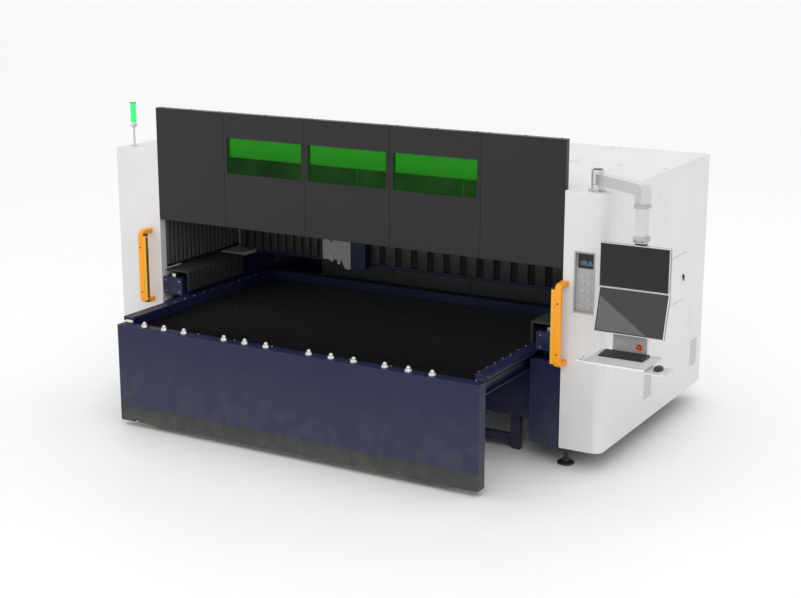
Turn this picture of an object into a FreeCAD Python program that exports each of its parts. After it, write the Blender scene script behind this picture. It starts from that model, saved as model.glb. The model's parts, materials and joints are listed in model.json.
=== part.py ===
import FreeCAD, Part
import math
import os
import Sketcher

# A fiber laser cutting machine: a long bed under a sheet-metal enclosure, with a shuttle table that
# slides out at the front, a gantry that carries the cutting head, and an operator console on an arm.
# X runs along the opening, Y to the back and Z up. Lengths are millimetres. Outlines are written
# from the middle of the loading opening, the front plane of the pillars and the floor, and every
# sub-part is then moved so that the origin lies on the floor under the middle of the whole machine.

SIZES = {
    # enclosure
    "opening_width": 3600, "left_pillar_width": 424, "right_pillar_width": 320,
    "pillar_depth": 257, "machine_depth": 2110, "roof_height": 2040, "skirt_height": 149,
    "sheet": 3, "corner_radius": 70, "panel_gap": 2,
    # front bulkhead
    "bulkhead_bottom": 1482, "bulkhead_top": 2394, "bulkhead_depth": 60,
    "window_bottom": 1913, "window_top": 2202, "window_margin": 24, "pane_thickness": 6,
    "frame_tube": 40,
    # bed
    "leg_width": 236, "leg_inset": 10, "leg_bottom": 149, "leg_top": 790, "bed_wall": 8,
    "rail_beam_width": 190, "rail_beam_bottom": 860, "rail_beam_top": 1000,
    "foot_plate_drop": 29, "foot_plate_length": 170, "foot_radius": 62, "foot_stud_radius": 15,
    "cross_beam_bottom": 285, "cross_beam_top": 640, "cross_beam_depth": 90, "skid_height": 112,
    "skid_half_length": 1400,
    # shuttle table
    "table_front_y": -847, "table_panel_depth": 102, "table_panel_bottom": 45,
    "table_panel_top": 815, "table_panel_width": 3156, "kick_height": 130, "table_length": 1985,
    "beam_top": 858, "beam_bottom": 690, "beam_flange": 100, "beam_outer": 1590,
    "slat_top": 803, "slat_height": 90, "slat_thickness": 3, "slat_pitch": 62,
    "ball_radius": 22, "ball_pitch": 190, "wheel_radius": 70, "wheel_width": 40,
    "roller_radius": 22,
    # gantry, carriage and head
    "rail_width": 34, "rail_height": 30, "rail_clearance": 0.3, "saddle_front": 800,
    "saddle_length": 460, "gantry_front": 1000, "gantry_beam_depth": 200, "gantry_bottom": 1046,
    "gantry_top": 1330, "carriage_left": -811, "carriage_right": -394, "cover_width": 273,
    "cover_front": 920, "head_radius": 32, "nozzle_tip": 1010, "bellows_thickness": 22,
    # light guards
    "guard_bottom": 782, "guard_height": 612, "guard_reach": 125, "guard_width": 50,
    "guard_thickness": 36, "curtain_width": 26,
    # control panel in the right pillar
    "control_left": 1884, "control_width": 155, "control_bottom": 1176, "control_height": 442,
    "control_recess": 24, "key_size": 30, "key_pitch_x": 51, "key_pitch_z": 56, "key_height": 5,
    # access door in the right side
    "door_front": 1306, "door_width": 344, "door_bottom": 948, "door_height": 377, "door_gap": 3,
    # light tower
    "tower_height": 361, "lamp_length": 173, "lamp_radius": 25,
    # operator console
    "post_x": 1994, "post_y": 107, "post_radius": 45, "post_height": 148, "boom_reach": 506,
    "boom_angle": -30.5, "boom_bottom": 2086, "boom_depth": 78, "boom_width": 80,
    "tube_width": 70, "monitor_width": 500, "monitor_height": 306,
    "monitor_thickness": 30, "upper_monitor_z": 1602, "lower_monitor_z": 1282,
    "lower_monitor_tilt": 16, "tray_height": 1000, "tray_width": 440, "tray_depth": 335,
    "tray_thickness": 18, "shelf_width": 140, "keyboard_width": 320, "keyboard_depth": 135,
}

doc = FreeCAD.newDocument("LaserCuttingMachine")
sheet = doc.addObject("Spreadsheet::Sheet", "Sizes")
for row, (alias, number) in enumerate(SIZES.items(), start=1):
    sheet.set("A%d" % row, alias)
    sheet.set("B%d" % row, str(number))
    sheet.setAlias("B%d" % row, alias)
doc.recompute()


class Size:
    """A length of the sheet, or a sum or product of such lengths, as a number and as an expression."""

    def __init__(self, value, text):
        self.value = value
        self.text = text

    def combine(self, other, sign, value):
        return Size(value, "(%s %s %s)" % (self.text, sign, size_of(other).text))

    def __add__(self, other):
        return self.combine(other, "+", self.value + size_of(other).value)

    def __sub__(self, other):
        return self.combine(other, "-", self.value - size_of(other).value)

    def __mul__(self, other):
        return self.combine(other, "*", self.value * size_of(other).value)

    def __truediv__(self, other):
        return self.combine(other, "/", self.value / size_of(other).value)

    def __radd__(self, other):
        return size_of(other) + self

    def __rsub__(self, other):
        return size_of(other) - self

    def __rmul__(self, other):
        return size_of(other) * self

    def __neg__(self):
        return 0 - self


def size_of(length):
    if isinstance(length, Size):
        return length
    return Size(float(length), repr(float(length)))


class Sheet:
    """Gives each cell of the spreadsheet as a Size."""

    def __getattr__(self, alias):
        return Size(float(sheet.get(alias)), "Sizes." + alias)


s = Sheet()

# ---- places that several sub-parts share ----

half_opening = s.opening_width / 2
left_side = -(half_opening + s.left_pillar_width)
right_side = half_opening + s.right_pillar_width
leg_inner = half_opening - s.leg_inset - s.leg_width
rail_beam_inner = half_opening - s.leg_inset - s.rail_beam_width
rail_x = half_opening - s.leg_inset - s.rail_beam_width / 2
table_half = s.table_panel_width / 2
beam_inner = s.beam_outer - s.beam_flange
table_inner_y = s.table_front_y + s.table_panel_depth
saddle_back = s.saddle_front + s.saddle_length
beam_front = s.gantry_front + 60
rail_top = s.rail_beam_top + s.rail_height
boom_direction = math.radians(SIZES["boom_angle"])
tube_x = s.post_x + math.cos(boom_direction) * s.boom_reach
tube_y = s.post_y + math.sin(boom_direction) * s.boom_reach
tray_left = tube_x - 242
shelf_right = tray_left + s.tray_width + s.shelf_width
origin_x = (left_side + shelf_right) / 2
origin_y = (s.table_front_y + s.machine_depth) / 2
ORIGIN_PLANES = {"XY": "XY_Plane", "XZ": "XZ_Plane", "YZ": "YZ_Plane"}
subparts = []


def keep(item, label):
    """Marks a document object as a sub-part: its label is the name of its file."""
    item.Label = label
    subparts.append(item)
    return item


def bind(item, prop, length):
    item.setExpression(prop, size_of(length).text)


def move(item, x, y, z):
    """Places an item, in lengths from the opening's middle, the pillars' front and the floor."""
    bind(item, "Placement.Base.x", x - origin_x)
    bind(item, "Placement.Base.y", y - origin_y)
    bind(item, "Placement.Base.z", z)
    return item


def box(x0, x1, y0, y1, z0, z1):
    item = doc.addObject("Part::Box", "Block")
    bind(item, "Length", size_of(x1) - x0)
    bind(item, "Width", size_of(y1) - y0)
    bind(item, "Height", size_of(z1) - z0)
    return move(item, size_of(x0), size_of(y0), size_of(z0))


def cylinder(radius, length, x, y, z, direction=(0, 0, 1)):
    item = doc.addObject("Part::Cylinder", "Round")
    bind(item, "Radius", radius)
    bind(item, "Height", length)
    item.Placement.Rotation = FreeCAD.Rotation(FreeCAD.Vector(0, 0, 1), FreeCAD.Vector(*direction))
    return move(item, size_of(x), size_of(y), size_of(z))


def fuse(*items):
    item = doc.addObject("Part::MultiFuse", "Joined")
    item.Shapes = list(items)
    return item


def cut(base, *tools):
    item = doc.addObject("Part::Cut", "Cut")
    item.Base = base
    item.Tool = tools[0] if len(tools) == 1 else fuse(*tools)
    return item


def group(*items):
    item = doc.addObject("Part::Compound", "Group")
    item.Links = list(items)
    return item


def both_sides(make):
    """Makes a right-hand item and its mirrored copy on the left."""
    right = make()
    left = doc.addObject("Part::Mirroring", "Left")
    left.Source = right
    left.Normal = (1, 0, 0)
    bind(left, "Base.x", -origin_x)
    return [left, right]


def new_sketch(body, plane):
    sketch = body.newObject("Sketcher::SketchObject", "Outline")
    role = ORIGIN_PLANES[plane]
    support = [feature for feature in body.Origin.OriginFeatures if feature.Role == role][0]
    sketch.AttachmentSupport = [(support, "")]
    sketch.MapMode = "FlatFace"
    return sketch


def draw_loop(sketch, points):
    """Draws a closed outline of straight lines whose corners are bound to the sheet."""
    corners = [(size_of(u), size_of(v)) for u, v in points]
    places = [FreeCAD.Vector(u.value, v.value, 0) for u, v in corners]
    lines = []
    for start, end in zip(places, places[1:] + places[:1]):
        lines.append(sketch.addGeometry(Part.LineSegment(start, end), False))
    for line, following in zip(lines, lines[1:] + lines[:1]):
        sketch.addConstraint(Sketcher.Constraint("Coincident", line, 2, following, 1))
    for line, (u, v) in zip(lines, corners):
        for kind, length in (("DistanceX", u), ("DistanceY", v)):
            rule = Sketcher.Constraint(kind, -1, 1, line, 1, length.value)
            number = sketch.addConstraint(rule)
            sketch.setExpression("Constraints[%d]" % number, length.text)


def draw_circle(sketch, u, v, radius):
    u, v, radius = size_of(u), size_of(v), size_of(radius)
    centre = FreeCAD.Vector(u.value, v.value, 0)
    circle = Part.Circle(centre, FreeCAD.Vector(0, 0, 1), radius.value)
    line = sketch.addGeometry(circle, False)
    for kind, length in (("DistanceX", u), ("DistanceY", v)):
        number = sketch.addConstraint(Sketcher.Constraint(kind, -1, 1, line, 3, length.value))
        sketch.setExpression("Constraints[%d]" % number, length.text)
    number = sketch.addConstraint(Sketcher.Constraint("Radius", line, radius.value))
    sketch.setExpression("Constraints[%d]" % number, radius.text)


def rectangle(u0, u1, v0, v1):
    return [(u0, v0), (u1, v0), (u1, v1), (u0, v1)]


def plate(plane, outline, start, end, holes=(), round_holes=()):
    """Pads an outline from start to end along the normal of its plane."""
    body = doc.addObject("PartDesign::Body", "Plate")
    sketch = new_sketch(body, plane)
    draw_loop(sketch, outline)
    for hole in holes:
        draw_loop(sketch, hole)
    for hole in round_holes:
        draw_circle(sketch, *hole)
    pad = body.newObject("PartDesign::Pad", "Pad")
    pad.Profile = sketch
    bind(pad, "Length", size_of(end) - start)
    sketch.Visibility = False
    base = {"XY": (0, 0, start), "XZ": (0, end, 0), "YZ": (start, 0, 0)}[plane]
    move(body, *[size_of(length) for length in base])
    return body


def pocket(body, plane, outline, offset, depth, reverse=False):
    """Cuts an outline into a body from a plane at the given offset along the plane's normal."""
    sketch = new_sketch(body, plane)
    draw_loop(sketch, outline)
    bind(sketch, "AttachmentOffset.Base.z", offset)
    feature = body.newObject("PartDesign::Pocket", "Pocket")
    feature.Profile = sketch
    bind(feature, "Length", depth)
    feature.Reversed = reverse
    sketch.Visibility = False
    return feature


def round_edges(body, radius, wanted):
    """Rounds the edges of a body's last feature whose middle point is wanted."""
    doc.recompute()
    tip = body.Tip
    names = []
    for number, edge in enumerate(tip.Shape.Edges, start=1):
        middle = edge.valueAt((edge.FirstParameter + edge.LastParameter) / 2)
        along = edge.tangentAt((edge.FirstParameter + edge.LastParameter) / 2)
        if wanted(middle, along):
            names.append("Edge%d" % number)
    fillet = body.newObject("PartDesign::Fillet", "Fillet")
    fillet.Base = (tip, names)
    bind(fillet, "Radius", radius)
    return fillet


def turned(profile, x, y, z):
    """Turns a profile of (radius, height) corners about a vertical axis."""
    body = doc.addObject("PartDesign::Body", "Turned")
    sketch = new_sketch(body, "XZ")
    draw_loop(sketch, profile)
    feature = body.newObject("PartDesign::Revolution", "Revolution")
    feature.Profile = sketch
    feature.ReferenceAxis = (sketch, ["V_Axis"])
    feature.Angle = 360
    sketch.Visibility = False
    return move(body, size_of(x), size_of(y), size_of(z))


# ---- bed ----

FOOT_Y = (size_of(105), size_of(780), size_of(1420), s.machine_depth - 110)
foot_x = half_opening + 15


def bed_side():
    """A welded box beam with foot plates below and the beam of the long guide rail on top."""
    outer = half_opening - s.leg_inset
    wall = s.bed_wall
    leg = box(leg_inner, outer, 10, s.machine_depth - 50, s.leg_bottom, s.leg_top)
    hollow = box(leg_inner + wall, outer - wall, 10 + wall, s.machine_depth - 50 - wall,
                 s.leg_bottom - 1, s.leg_top - wall)
    spacer = box(leg_inner + 60, outer - 10, 120, s.machine_depth - 60, s.leg_top,
                 s.rail_beam_bottom)
    rail_beam = box(rail_beam_inner, outer, 5, s.machine_depth - 15, s.rail_beam_bottom,
                    s.rail_beam_top)
    plates = []
    for y in FOOT_Y:
        half = s.foot_plate_length / 2
        plates.append(box(half_opening - 100, half_opening + 97, y - half, y + half,
                          s.leg_bottom - s.foot_plate_drop, s.leg_bottom))
    return fuse(cut(leg, hollow), spacer, rail_beam, *plates)


def levelling_foot(x, y):
    """A pad, a stud and a lock nut: three solids that stand on the floor."""
    plate_bottom = s.leg_bottom - s.foot_plate_drop
    pad = turned([(0, 0), (s.foot_radius, 0), (s.foot_radius, 14), (s.foot_radius - 12, 20),
                  (28, 24), (26, 40), (0, 40)], x, y, 0)
    stud = cylinder(s.foot_stud_radius, plate_bottom - 40, x, y, 40)
    nut = cut(cylinder(s.foot_stud_radius + 11, 16, x, y, plate_bottom - 16),
              cylinder(s.foot_stud_radius + 0.05, 18, x, y, plate_bottom - 17))
    return [pad, stud, nut]


CROSS_BEAM_Y = 140
roller_y = CROSS_BEAM_Y + s.cross_beam_depth / 2
roller_z = s.beam_bottom - 0.3 - s.roller_radius
roller_x = beam_inner + 26


def roller_brackets():
    """Two cheeks for each support roller, on top of the front cross beam."""
    cheeks = []
    for x in (-roller_x - 26, -roller_x + 16, roller_x - 26, roller_x + 16):
        cheek = box(x, x + 10, roller_y - 20, roller_y + 20, s.cross_beam_top, s.beam_bottom - 6)
        bore = cylinder(8.05, 12, x - 1, roller_y, roller_z, (1, 0, 0))
        cheeks.append(cut(cheek, bore))
    return cheeks


def support_rollers():
    """A roller with its pin under each side beam of the table."""
    rollers = []
    for x in (-roller_x, roller_x):
        drum = cylinder(s.roller_radius, 30, x - 15, roller_y, roller_z, (1, 0, 0))
        pin = cylinder(8, 56, x - 28, roller_y, roller_z, (1, 0, 0))
        rollers.append(fuse(drum, pin))
    return group(*rollers)


def cross_beam(front):
    return box(-leg_inner, leg_inner, front, front + s.cross_beam_depth, s.cross_beam_bottom,
               s.cross_beam_top)


def front_skid():
    """A low beam under the bed, with arches cut between its feet."""
    reach = s.skid_half_length
    foot = 60
    outline = [(-reach, 0), (foot - reach, 0), (foot - reach + 30, 44), (-330, 44), (-300, 0),
               (-240, 0), (-210, 44), (210, 44), (240, 0), (300, 0), (330, 44),
               (reach - foot - 30, 44), (reach - foot, 0), (reach, 0), (reach, s.skid_height),
               (-reach, s.skid_height)]
    web = plate("XZ", outline, 190, 230)
    post = box(-reach, -reach + 80, 190, 230, s.skid_height, s.cross_beam_bottom)
    other_post = box(reach - 80, reach, 190, 230, s.skid_height, s.cross_beam_bottom)
    return fuse(web, post, other_post)


def build_bed():
    left, right = both_sides(bed_side)
    keep(left, "bed_side_left")
    keep(right, "bed_side_right")
    beams = [cross_beam(CROSS_BEAM_Y), cross_beam(s.machine_depth - 200)]
    keep(group(*beams, front_skid(), *roller_brackets()), "bed_cross_beams")
    keep(support_rollers(), "support_rollers")
    feet = []
    for side in (-foot_x, foot_x):
        for y in FOOT_Y:
            feet += levelling_foot(side, y)
    keep(group(*feet), "levelling_feet")


# ---- enclosure ----

def pillar_cover(x0, x1, rounded):
    """A folded cover, open below and with a top; its outer front corner may be rounded."""
    top = s.roof_height
    body = plate("XY", rectangle(x0, x1, 0, s.pillar_depth), s.skirt_height, top)
    radius = s.corner_radius

    def outer_corner(middle, along):
        return abs(along.z) > 0.9 and abs(middle.x - size_of(x1).value) < 1 and middle.y < 1

    def inner_corner(middle, along):
        near = abs(middle.x - size_of(x1).value + s.sheet.value) < 1
        return abs(along.z) > 0.9 and near and abs(middle.y - s.sheet.value) < 1

    inside = rectangle(x0 + s.sheet, x1 - s.sheet, s.sheet, s.pillar_depth - s.sheet)
    pocket(body, "XY", inside, 0, top - s.skirt_height - s.sheet, reverse=True)
    if rounded:
        round_edges(body, radius - s.sheet, inner_corner)
        round_edges(body, radius, outer_corner)
    return body


def right_pillar_cover():
    """The right cover has a cut-out for the recessed control panel."""
    x0, z0 = s.control_left, s.control_bottom
    opening = box(x0, x0 + s.control_width, -5, s.sheet + 1, z0, z0 + s.control_height)
    return cut(pillar_cover(half_opening, right_side, True), opening)


SIDE_SEAMS = (1016, 1811)
door_back = s.door_front + s.door_width
door_top = s.door_bottom + s.door_height


def side_panels(x0, x1, with_door):
    """Three sheets from the pillar to the back; the middle one may hold the access door."""
    gap = s.panel_gap / 2
    stations = [s.pillar_depth] + [size_of(seam) for seam in SIDE_SEAMS] + [s.machine_depth]
    top = s.roof_height - s.sheet
    panels = []
    for number, (start, end) in enumerate(zip(stations, stations[1:])):
        holes = []
        if with_door and number == 1:
            holes = [rectangle(s.door_front, door_back, s.door_bottom, door_top)]
        outline = rectangle(start + gap, end - gap, s.skirt_height, top)
        panels.append(plate("YZ", outline, x0, x1, holes))
    if with_door:
        panels += hinge_lugs()
    return group(*panels)


HINGE_LENGTH = 60
hinge_x = right_side + 8.3
hinge_y = s.door_front + s.door_gap / 2
hinge_z = [s.door_bottom + 40, door_top - 40 - HINGE_LENGTH]


def hinge_lugs():
    """For each hinge a pin, and a lug at either end of it on the face of the side panel."""
    lugs = []
    for z in hinge_z:
        pin = cylinder(4, HINGE_LENGTH + 2, hinge_x, hinge_y, z - 1)
        ends = []
        for low in (z - 20.5, z + HINGE_LENGTH + 0.5):
            ends.append(cylinder(8, 20, hinge_x, hinge_y, low))
            ends.append(box(right_side, hinge_x, s.door_front - 9, s.door_front - 1, low, low + 20))
        lugs.append(fuse(pin, *ends))
    return lugs


def hinge_knuckles():
    knuckles = []
    for z in hinge_z:
        knuckles.append(cylinder(8, HINGE_LENGTH, hinge_x, hinge_y, z))
        knuckles.append(box(right_side, hinge_x, hinge_y + 2, hinge_y + 7.5, z, z + HINGE_LENGTH))
    return knuckles


def access_door():
    """A flush leaf with a hinge knuckle near each end of its front edge."""
    gap = s.door_gap
    outer = right_side
    leaf = plate("YZ", rectangle(s.door_front + gap, door_back - gap, s.door_bottom + gap,
                                 door_top - gap), outer - s.sheet, outer)
    frame = plate("YZ", rectangle(s.door_front + 20, door_back - 20, s.door_bottom + 20,
                                  door_top - 20), outer - s.sheet - 15, outer - s.sheet,
                  [rectangle(s.door_front + 24, door_back - 24, s.door_bottom + 24,
                             door_top - 24)])
    bores = [cylinder(4.05, HINGE_LENGTH + 2, hinge_x, hinge_y, z - 1) for z in hinge_z]
    return cut(fuse(leaf, frame, *hinge_knuckles()), *bores)


def door_latch():
    """A quarter-turn disc with a short lever on the outside of the door."""
    y, z, x = door_back - 46, s.door_bottom + s.door_height / 2, right_side
    disc = cylinder(16, 5, x + 0.3, y, z, (1, 0, 0))
    lever = box(x + 5, x + 12, y - 6, y + 6, z - 34, z + 8)
    return fuse(disc, lever)


LINING_BOTTOM = 500
LINING_TOP = 1420
lining_front = s.machine_depth - 60


def rear_wall():
    """Four outer sheets, and an inner lining between the two sides of the bed."""
    gap = s.panel_gap / 2
    inner = s.sheet + gap
    seams = [left_side + inner, size_of(-1200), size_of(-100), size_of(1000), right_side - inner]
    panels = []
    for start, end in zip(seams, seams[1:]):
        outline = rectangle(start + gap, end - gap, s.skirt_height, s.roof_height - s.sheet)
        panels.append(plate("XZ", outline, s.machine_depth - s.sheet, s.machine_depth))
    lining = box(0.5 - leg_inner, leg_inner - 0.5, lining_front, lining_front + s.sheet,
                 LINING_BOTTOM, LINING_TOP)
    return group(*panels, lining)


def roof_panels():
    """Three sheets; the front one reaches forward between the pillars to the bulkhead."""
    gap = s.panel_gap / 2
    bottom, top = s.roof_height - s.sheet, s.roof_height
    seam_y, seam_x = 1200, 1330
    shoulder, inner_edge = s.pillar_depth + gap, half_opening - gap
    outline = [(left_side, shoulder), (-inner_edge, shoulder), (-inner_edge, s.bulkhead_depth),
               (inner_edge, s.bulkhead_depth), (inner_edge, shoulder), (right_side, shoulder),
               (right_side, seam_y - gap), (left_side, seam_y - gap)]
    front = plate("XY", outline, bottom, top)
    left_part = rectangle(left_side, seam_x - gap, seam_y + gap, s.machine_depth)
    right_part = rectangle(seam_x + gap, right_side, seam_y + gap, s.machine_depth)
    rear_left = plate("XY", left_part, bottom, top)
    rear_right = plate("XY", right_part, bottom, top)
    return group(front, rear_left, rear_right)


def build_enclosure():
    keep(pillar_cover(left_side, -half_opening, False), "pillar_cover_left")
    keep(right_pillar_cover(), "pillar_cover_right")
    keep(side_panels(left_side, left_side + s.sheet, False), "side_panels_left")
    keep(side_panels(right_side - s.sheet, right_side, True), "side_panels_right")
    keep(access_door(), "access_door")
    keep(door_latch(), "door_latch")
    keep(rear_wall(), "rear_wall")
    keep(roof_panels(), "roof_panels")


# ---- front bulkhead ----

BULKHEAD_SEAMS = (-1133, -373, 381, 1140)
bulkhead_edge = half_opening - 0.5


def bulkhead_panel(start, end, with_window):
    """A folded tray, open at the back; a window panel has one wide opening."""
    z0, z1 = s.bulkhead_bottom, s.bulkhead_top
    holes = []
    if with_window:
        margin = s.window_margin
        holes = [rectangle(start + margin, end - margin, s.window_bottom, s.window_top)]
    face = plate("XZ", rectangle(start, end, z0, z1), 0, s.sheet, holes)
    top = box(start, end, s.sheet, s.bulkhead_depth, z1 - s.sheet, z1)
    bottom = box(start, end, s.sheet, s.bulkhead_depth, z0, z0 + s.sheet)
    return fuse(face, top, bottom)


def bulkhead_frame():
    """Square tubes behind the panels: two long rails with an upright at each seam and end."""
    y0, y1 = s.sheet + s.pane_thickness, s.bulkhead_depth
    z0, z1 = s.bulkhead_bottom + s.sheet, s.bulkhead_top - s.sheet
    edge = bulkhead_edge - 2
    tube = s.frame_tube
    rails = [box(-edge, edge, y0, y1, z0, z0 + tube), box(-edge, edge, y0, y1, z1 - tube, z1)]
    centres = [-edge + tube / 2] + [size_of(x) for x in BULKHEAD_SEAMS] + [edge - tube / 2]
    uprights = [box(x - tube / 2, x + tube / 2, y0, y1, z0, z1) for x in centres]
    return fuse(*rails, *uprights)


def window_panes():
    panes = []
    lap = 12
    for start, end in zip(BULKHEAD_SEAMS, BULKHEAD_SEAMS[1:]):
        left, right = start + s.window_margin - lap, end - s.window_margin + lap
        outline = rectangle(left, right, s.window_bottom - lap, s.window_top + lap)
        panes.append(plate("XZ", outline, s.sheet, s.sheet + s.pane_thickness))
    return group(*panes)


def build_bulkhead():
    gap = s.panel_gap / 2
    seams = [-bulkhead_edge - gap] + [size_of(x) for x in BULKHEAD_SEAMS] + [bulkhead_edge + gap]
    spans = list(zip(seams, seams[1:]))
    panels = [bulkhead_panel(start + gap, end - gap, 0 < number < 4)
              for number, (start, end) in enumerate(spans)]
    keep(group(panels[0], panels[4]), "bulkhead_plain_panels")
    keep(group(*panels[1:4]), "bulkhead_window_panels")
    keep(bulkhead_frame(), "bulkhead_frame")
    keep(window_panes(), "window_panes")


# ---- light tower, guards and control panel ----

def build_light_tower():
    x, y, base = left_side + 67, 150, s.roof_height
    stem = s.tower_height - s.lamp_length
    stand = turned([(0, 0), (34, 0), (34, 5), (9, 9), (7, stem - 40), (s.lamp_radius + 3, stem - 22),
                    (s.lamp_radius + 3, stem), (0, stem)], x, y, base)
    lamp = turned([(0, 0), (s.lamp_radius, 0), (s.lamp_radius, s.lamp_length - 4),
                   (s.lamp_radius - 4, s.lamp_length), (0, s.lamp_length)], x, y, base + stem)
    keep(stand, "light_tower_stand")
    keep(lamp, "light_tower_lamp")


GUARD_LEFTS = (-1937, 1793)


def guard(x0):
    """A bent bar that stands off the pillar on two arms."""
    z0, z1 = s.guard_bottom, s.guard_bottom + s.guard_height
    thick, reach = s.guard_thickness, s.guard_reach
    outline = [(-reach, z0), (0, z0), (0, z0 + thick), (thick - reach, z0 + thick),
               (thick - reach, z1 - thick), (0, z1 - thick), (0, z1), (-reach, z1)]
    bar = plate("YZ", outline, x0, x0 + s.guard_width)

    def outer_bend(middle, along):
        return abs(along.x) > 0.9 and abs(middle.y + reach.value) < 1

    def inner_bend(middle, along):
        return abs(along.x) > 0.9 and abs(middle.y + reach.value - thick.value) < 1

    round_edges(bar, thick * 1.4, outer_bend)
    round_edges(bar, thick * 0.4, inner_bend)
    return bar


def light_curtain(x0):
    z0 = s.guard_bottom + 20
    y0 = -s.guard_reach + 2
    return box(x0, x0 + s.curtain_width, y0, y0 + 38, z0, z0 + s.guard_height - 50)


def build_guards():
    left, right = [size_of(x0) for x0 in GUARD_LEFTS]
    keep(group(guard(left), guard(right)), "guard_bars")
    curtains = [light_curtain(left + s.guard_width), light_curtain(right - s.curtain_width)]
    keep(group(*curtains), "light_curtains")


def control_housing():
    """A shallow tray set into the pillar, with its key plate at the bottom of the recess."""
    x0, z0 = s.control_left + 0.5, s.control_bottom + 0.5
    x1, z1 = x0 + s.control_width - 1, z0 + s.control_height - 1
    tray = box(x0, x1, -2, s.control_recess + 6, z0, z1)
    recess = box(x0 + 8, x1 - 8, -3, s.control_recess, z0 + 8, z1 - 8)
    seats = [cylinder(s.key_size / 2 + 0.5, 5.5, x, s.control_recess - 0.5, z, (0, 1, 0))
             for x, z in key_places()]
    return cut(tray, recess, *seats)


def key_places():
    x0 = s.control_left + s.control_width / 2 - s.key_pitch_x / 2 + 7
    z0 = s.control_bottom + 43
    places = []
    for row in range(5):
        for column in range(2):
            places.append((x0 + s.key_pitch_x * column, z0 + s.key_pitch_z * row))
    return places


def build_control_panel():
    keep(control_housing(), "control_housing")
    x0 = s.control_left + 24
    z1 = s.control_bottom + s.control_height - 22
    display = box(x0, x0 + 121, s.control_recess - 4, s.control_recess, z1 - 96, z1)
    keep(display, "control_display")
    for number, (x, z) in enumerate(key_places(), start=1):
        front = s.control_recess - s.key_height
        key = cylinder(s.key_size / 2, s.key_height + 2, x, front, z, (0, 1, 0))
        keep(key, "key_%d" % number)


# ---- shuttle table ----

BALL_GROUPS = (-1335, -580, 177, 814)


def table_front_panel():
    """A tall folded front with returns all round, open at the back, with rounded ends."""
    z0 = s.table_panel_bottom + s.kick_height
    y0, y1 = s.table_front_y, s.table_front_y + s.table_panel_depth
    body = plate("XZ", rectangle(-table_half, table_half, z0, s.table_panel_top), y0, y1)

    def upright_front(middle, along):
        return abs(along.z) > 0.9 and middle.y < -s.table_panel_depth.value + 1

    round_edges(body, 14, upright_front)
    wall = 4
    inside = rectangle(-table_half + wall, table_half - wall, z0 + wall, s.table_panel_top - wall)
    pocket(body, "XZ", inside, 0, s.table_panel_depth - wall, reverse=True)
    return body


def kick_band():
    """The dark lower band of the front, with a small notch near its left end."""
    z0, z1 = s.table_panel_bottom, s.table_panel_bottom + s.kick_height
    notch_left, notch_right = 134 - table_half, 174 - table_half
    outline = [(-table_half, z0), (notch_left, z0), (notch_left, z0 + 14), (notch_right, z0 + 14),
               (notch_right, z0), (table_half, z0), (table_half, z1), (-table_half, z1)]
    body = plate("XZ", outline, s.table_front_y, s.table_front_y + s.table_panel_depth)

    def upright_front(middle, along):
        near_end = abs(middle.x) > table_half.value - 1
        return abs(along.z) > 0.9 and near_end and middle.y < -s.table_panel_depth.value + 1

    round_edges(body, 14, upright_front)
    wall = 4
    inside = rectangle(-table_half + wall, table_half - wall, z0 + 20, z1 - wall)
    pocket(body, "XZ", inside, 0, s.table_panel_depth - wall, reverse=True)
    return body


def side_beam():
    """A channel that opens outwards; its upper flange carries the outer lip of the table."""
    top, bottom, outer = s.beam_top, s.beam_bottom, s.beam_outer
    wall = 12
    outline = [(beam_inner, bottom), (beam_inner + 52, bottom), (beam_inner + 52, bottom + wall),
               (beam_inner + wall, bottom + wall), (beam_inner + wall, top - 24),
               (outer - 6, top - 24), (outer - 6, top - 34), (outer, top - 34), (outer, top),
               (beam_inner, top)]
    return plate("XZ", outline, table_inner_y, table_inner_y + s.table_length)


def table_cross_members():
    """The rear beam and three bars under the slats."""
    back = table_inner_y + s.table_length
    rear = box(-beam_inner, beam_inner, back - 90, back, s.beam_bottom, s.beam_top)
    under = s.slat_top - s.slat_height
    bars = [box(-beam_inner, beam_inner, y, y + 60, s.beam_bottom, under)
            for y in (table_inner_y, size_of(-100), size_of(560))]
    return fuse(rear, *bars)


wheel_axle_y = table_inner_y + 90
WHEEL_X = 1300


def axle_brackets():
    brackets = []
    for x in (-WHEEL_X - 60, -WHEEL_X + 48, WHEEL_X - 60, WHEEL_X + 48):
        arm = box(x, x + 12, table_inner_y, wheel_axle_y + 40, s.wheel_radius - 30, s.beam_bottom)
        bore = cylinder(12.05, 14, x - 1, wheel_axle_y, s.wheel_radius, (1, 0, 0))
        brackets.append(cut(arm, bore))
    return brackets


def wheel_set():
    """One axle with two wheels that roll on the floor behind the front panel."""
    axle = cylinder(12, 2 * WHEEL_X + 180, -WHEEL_X - 90, wheel_axle_y, s.wheel_radius, (1, 0, 0))
    wheels = [cylinder(s.wheel_radius, s.wheel_width, x - s.wheel_width / 2, wheel_axle_y,
                       s.wheel_radius, (1, 0, 0)) for x in (-WHEEL_X, WHEEL_X)]
    return fuse(axle, *wheels)


def slats():
    """Thin upright blades along X, a row over the whole bed of the table."""
    blades = []
    low, high = s.slat_top - s.slat_height, s.slat_top
    count = int((s.table_length.value - 180) / s.slat_pitch.value)
    for number in range(count + 1):
        y = table_inner_y + 40 + s.slat_pitch * number
        blades.append(box(0.5 - beam_inner, beam_inner - 0.5, y, y + s.slat_thickness, low, high))
    return group(*blades)


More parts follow.
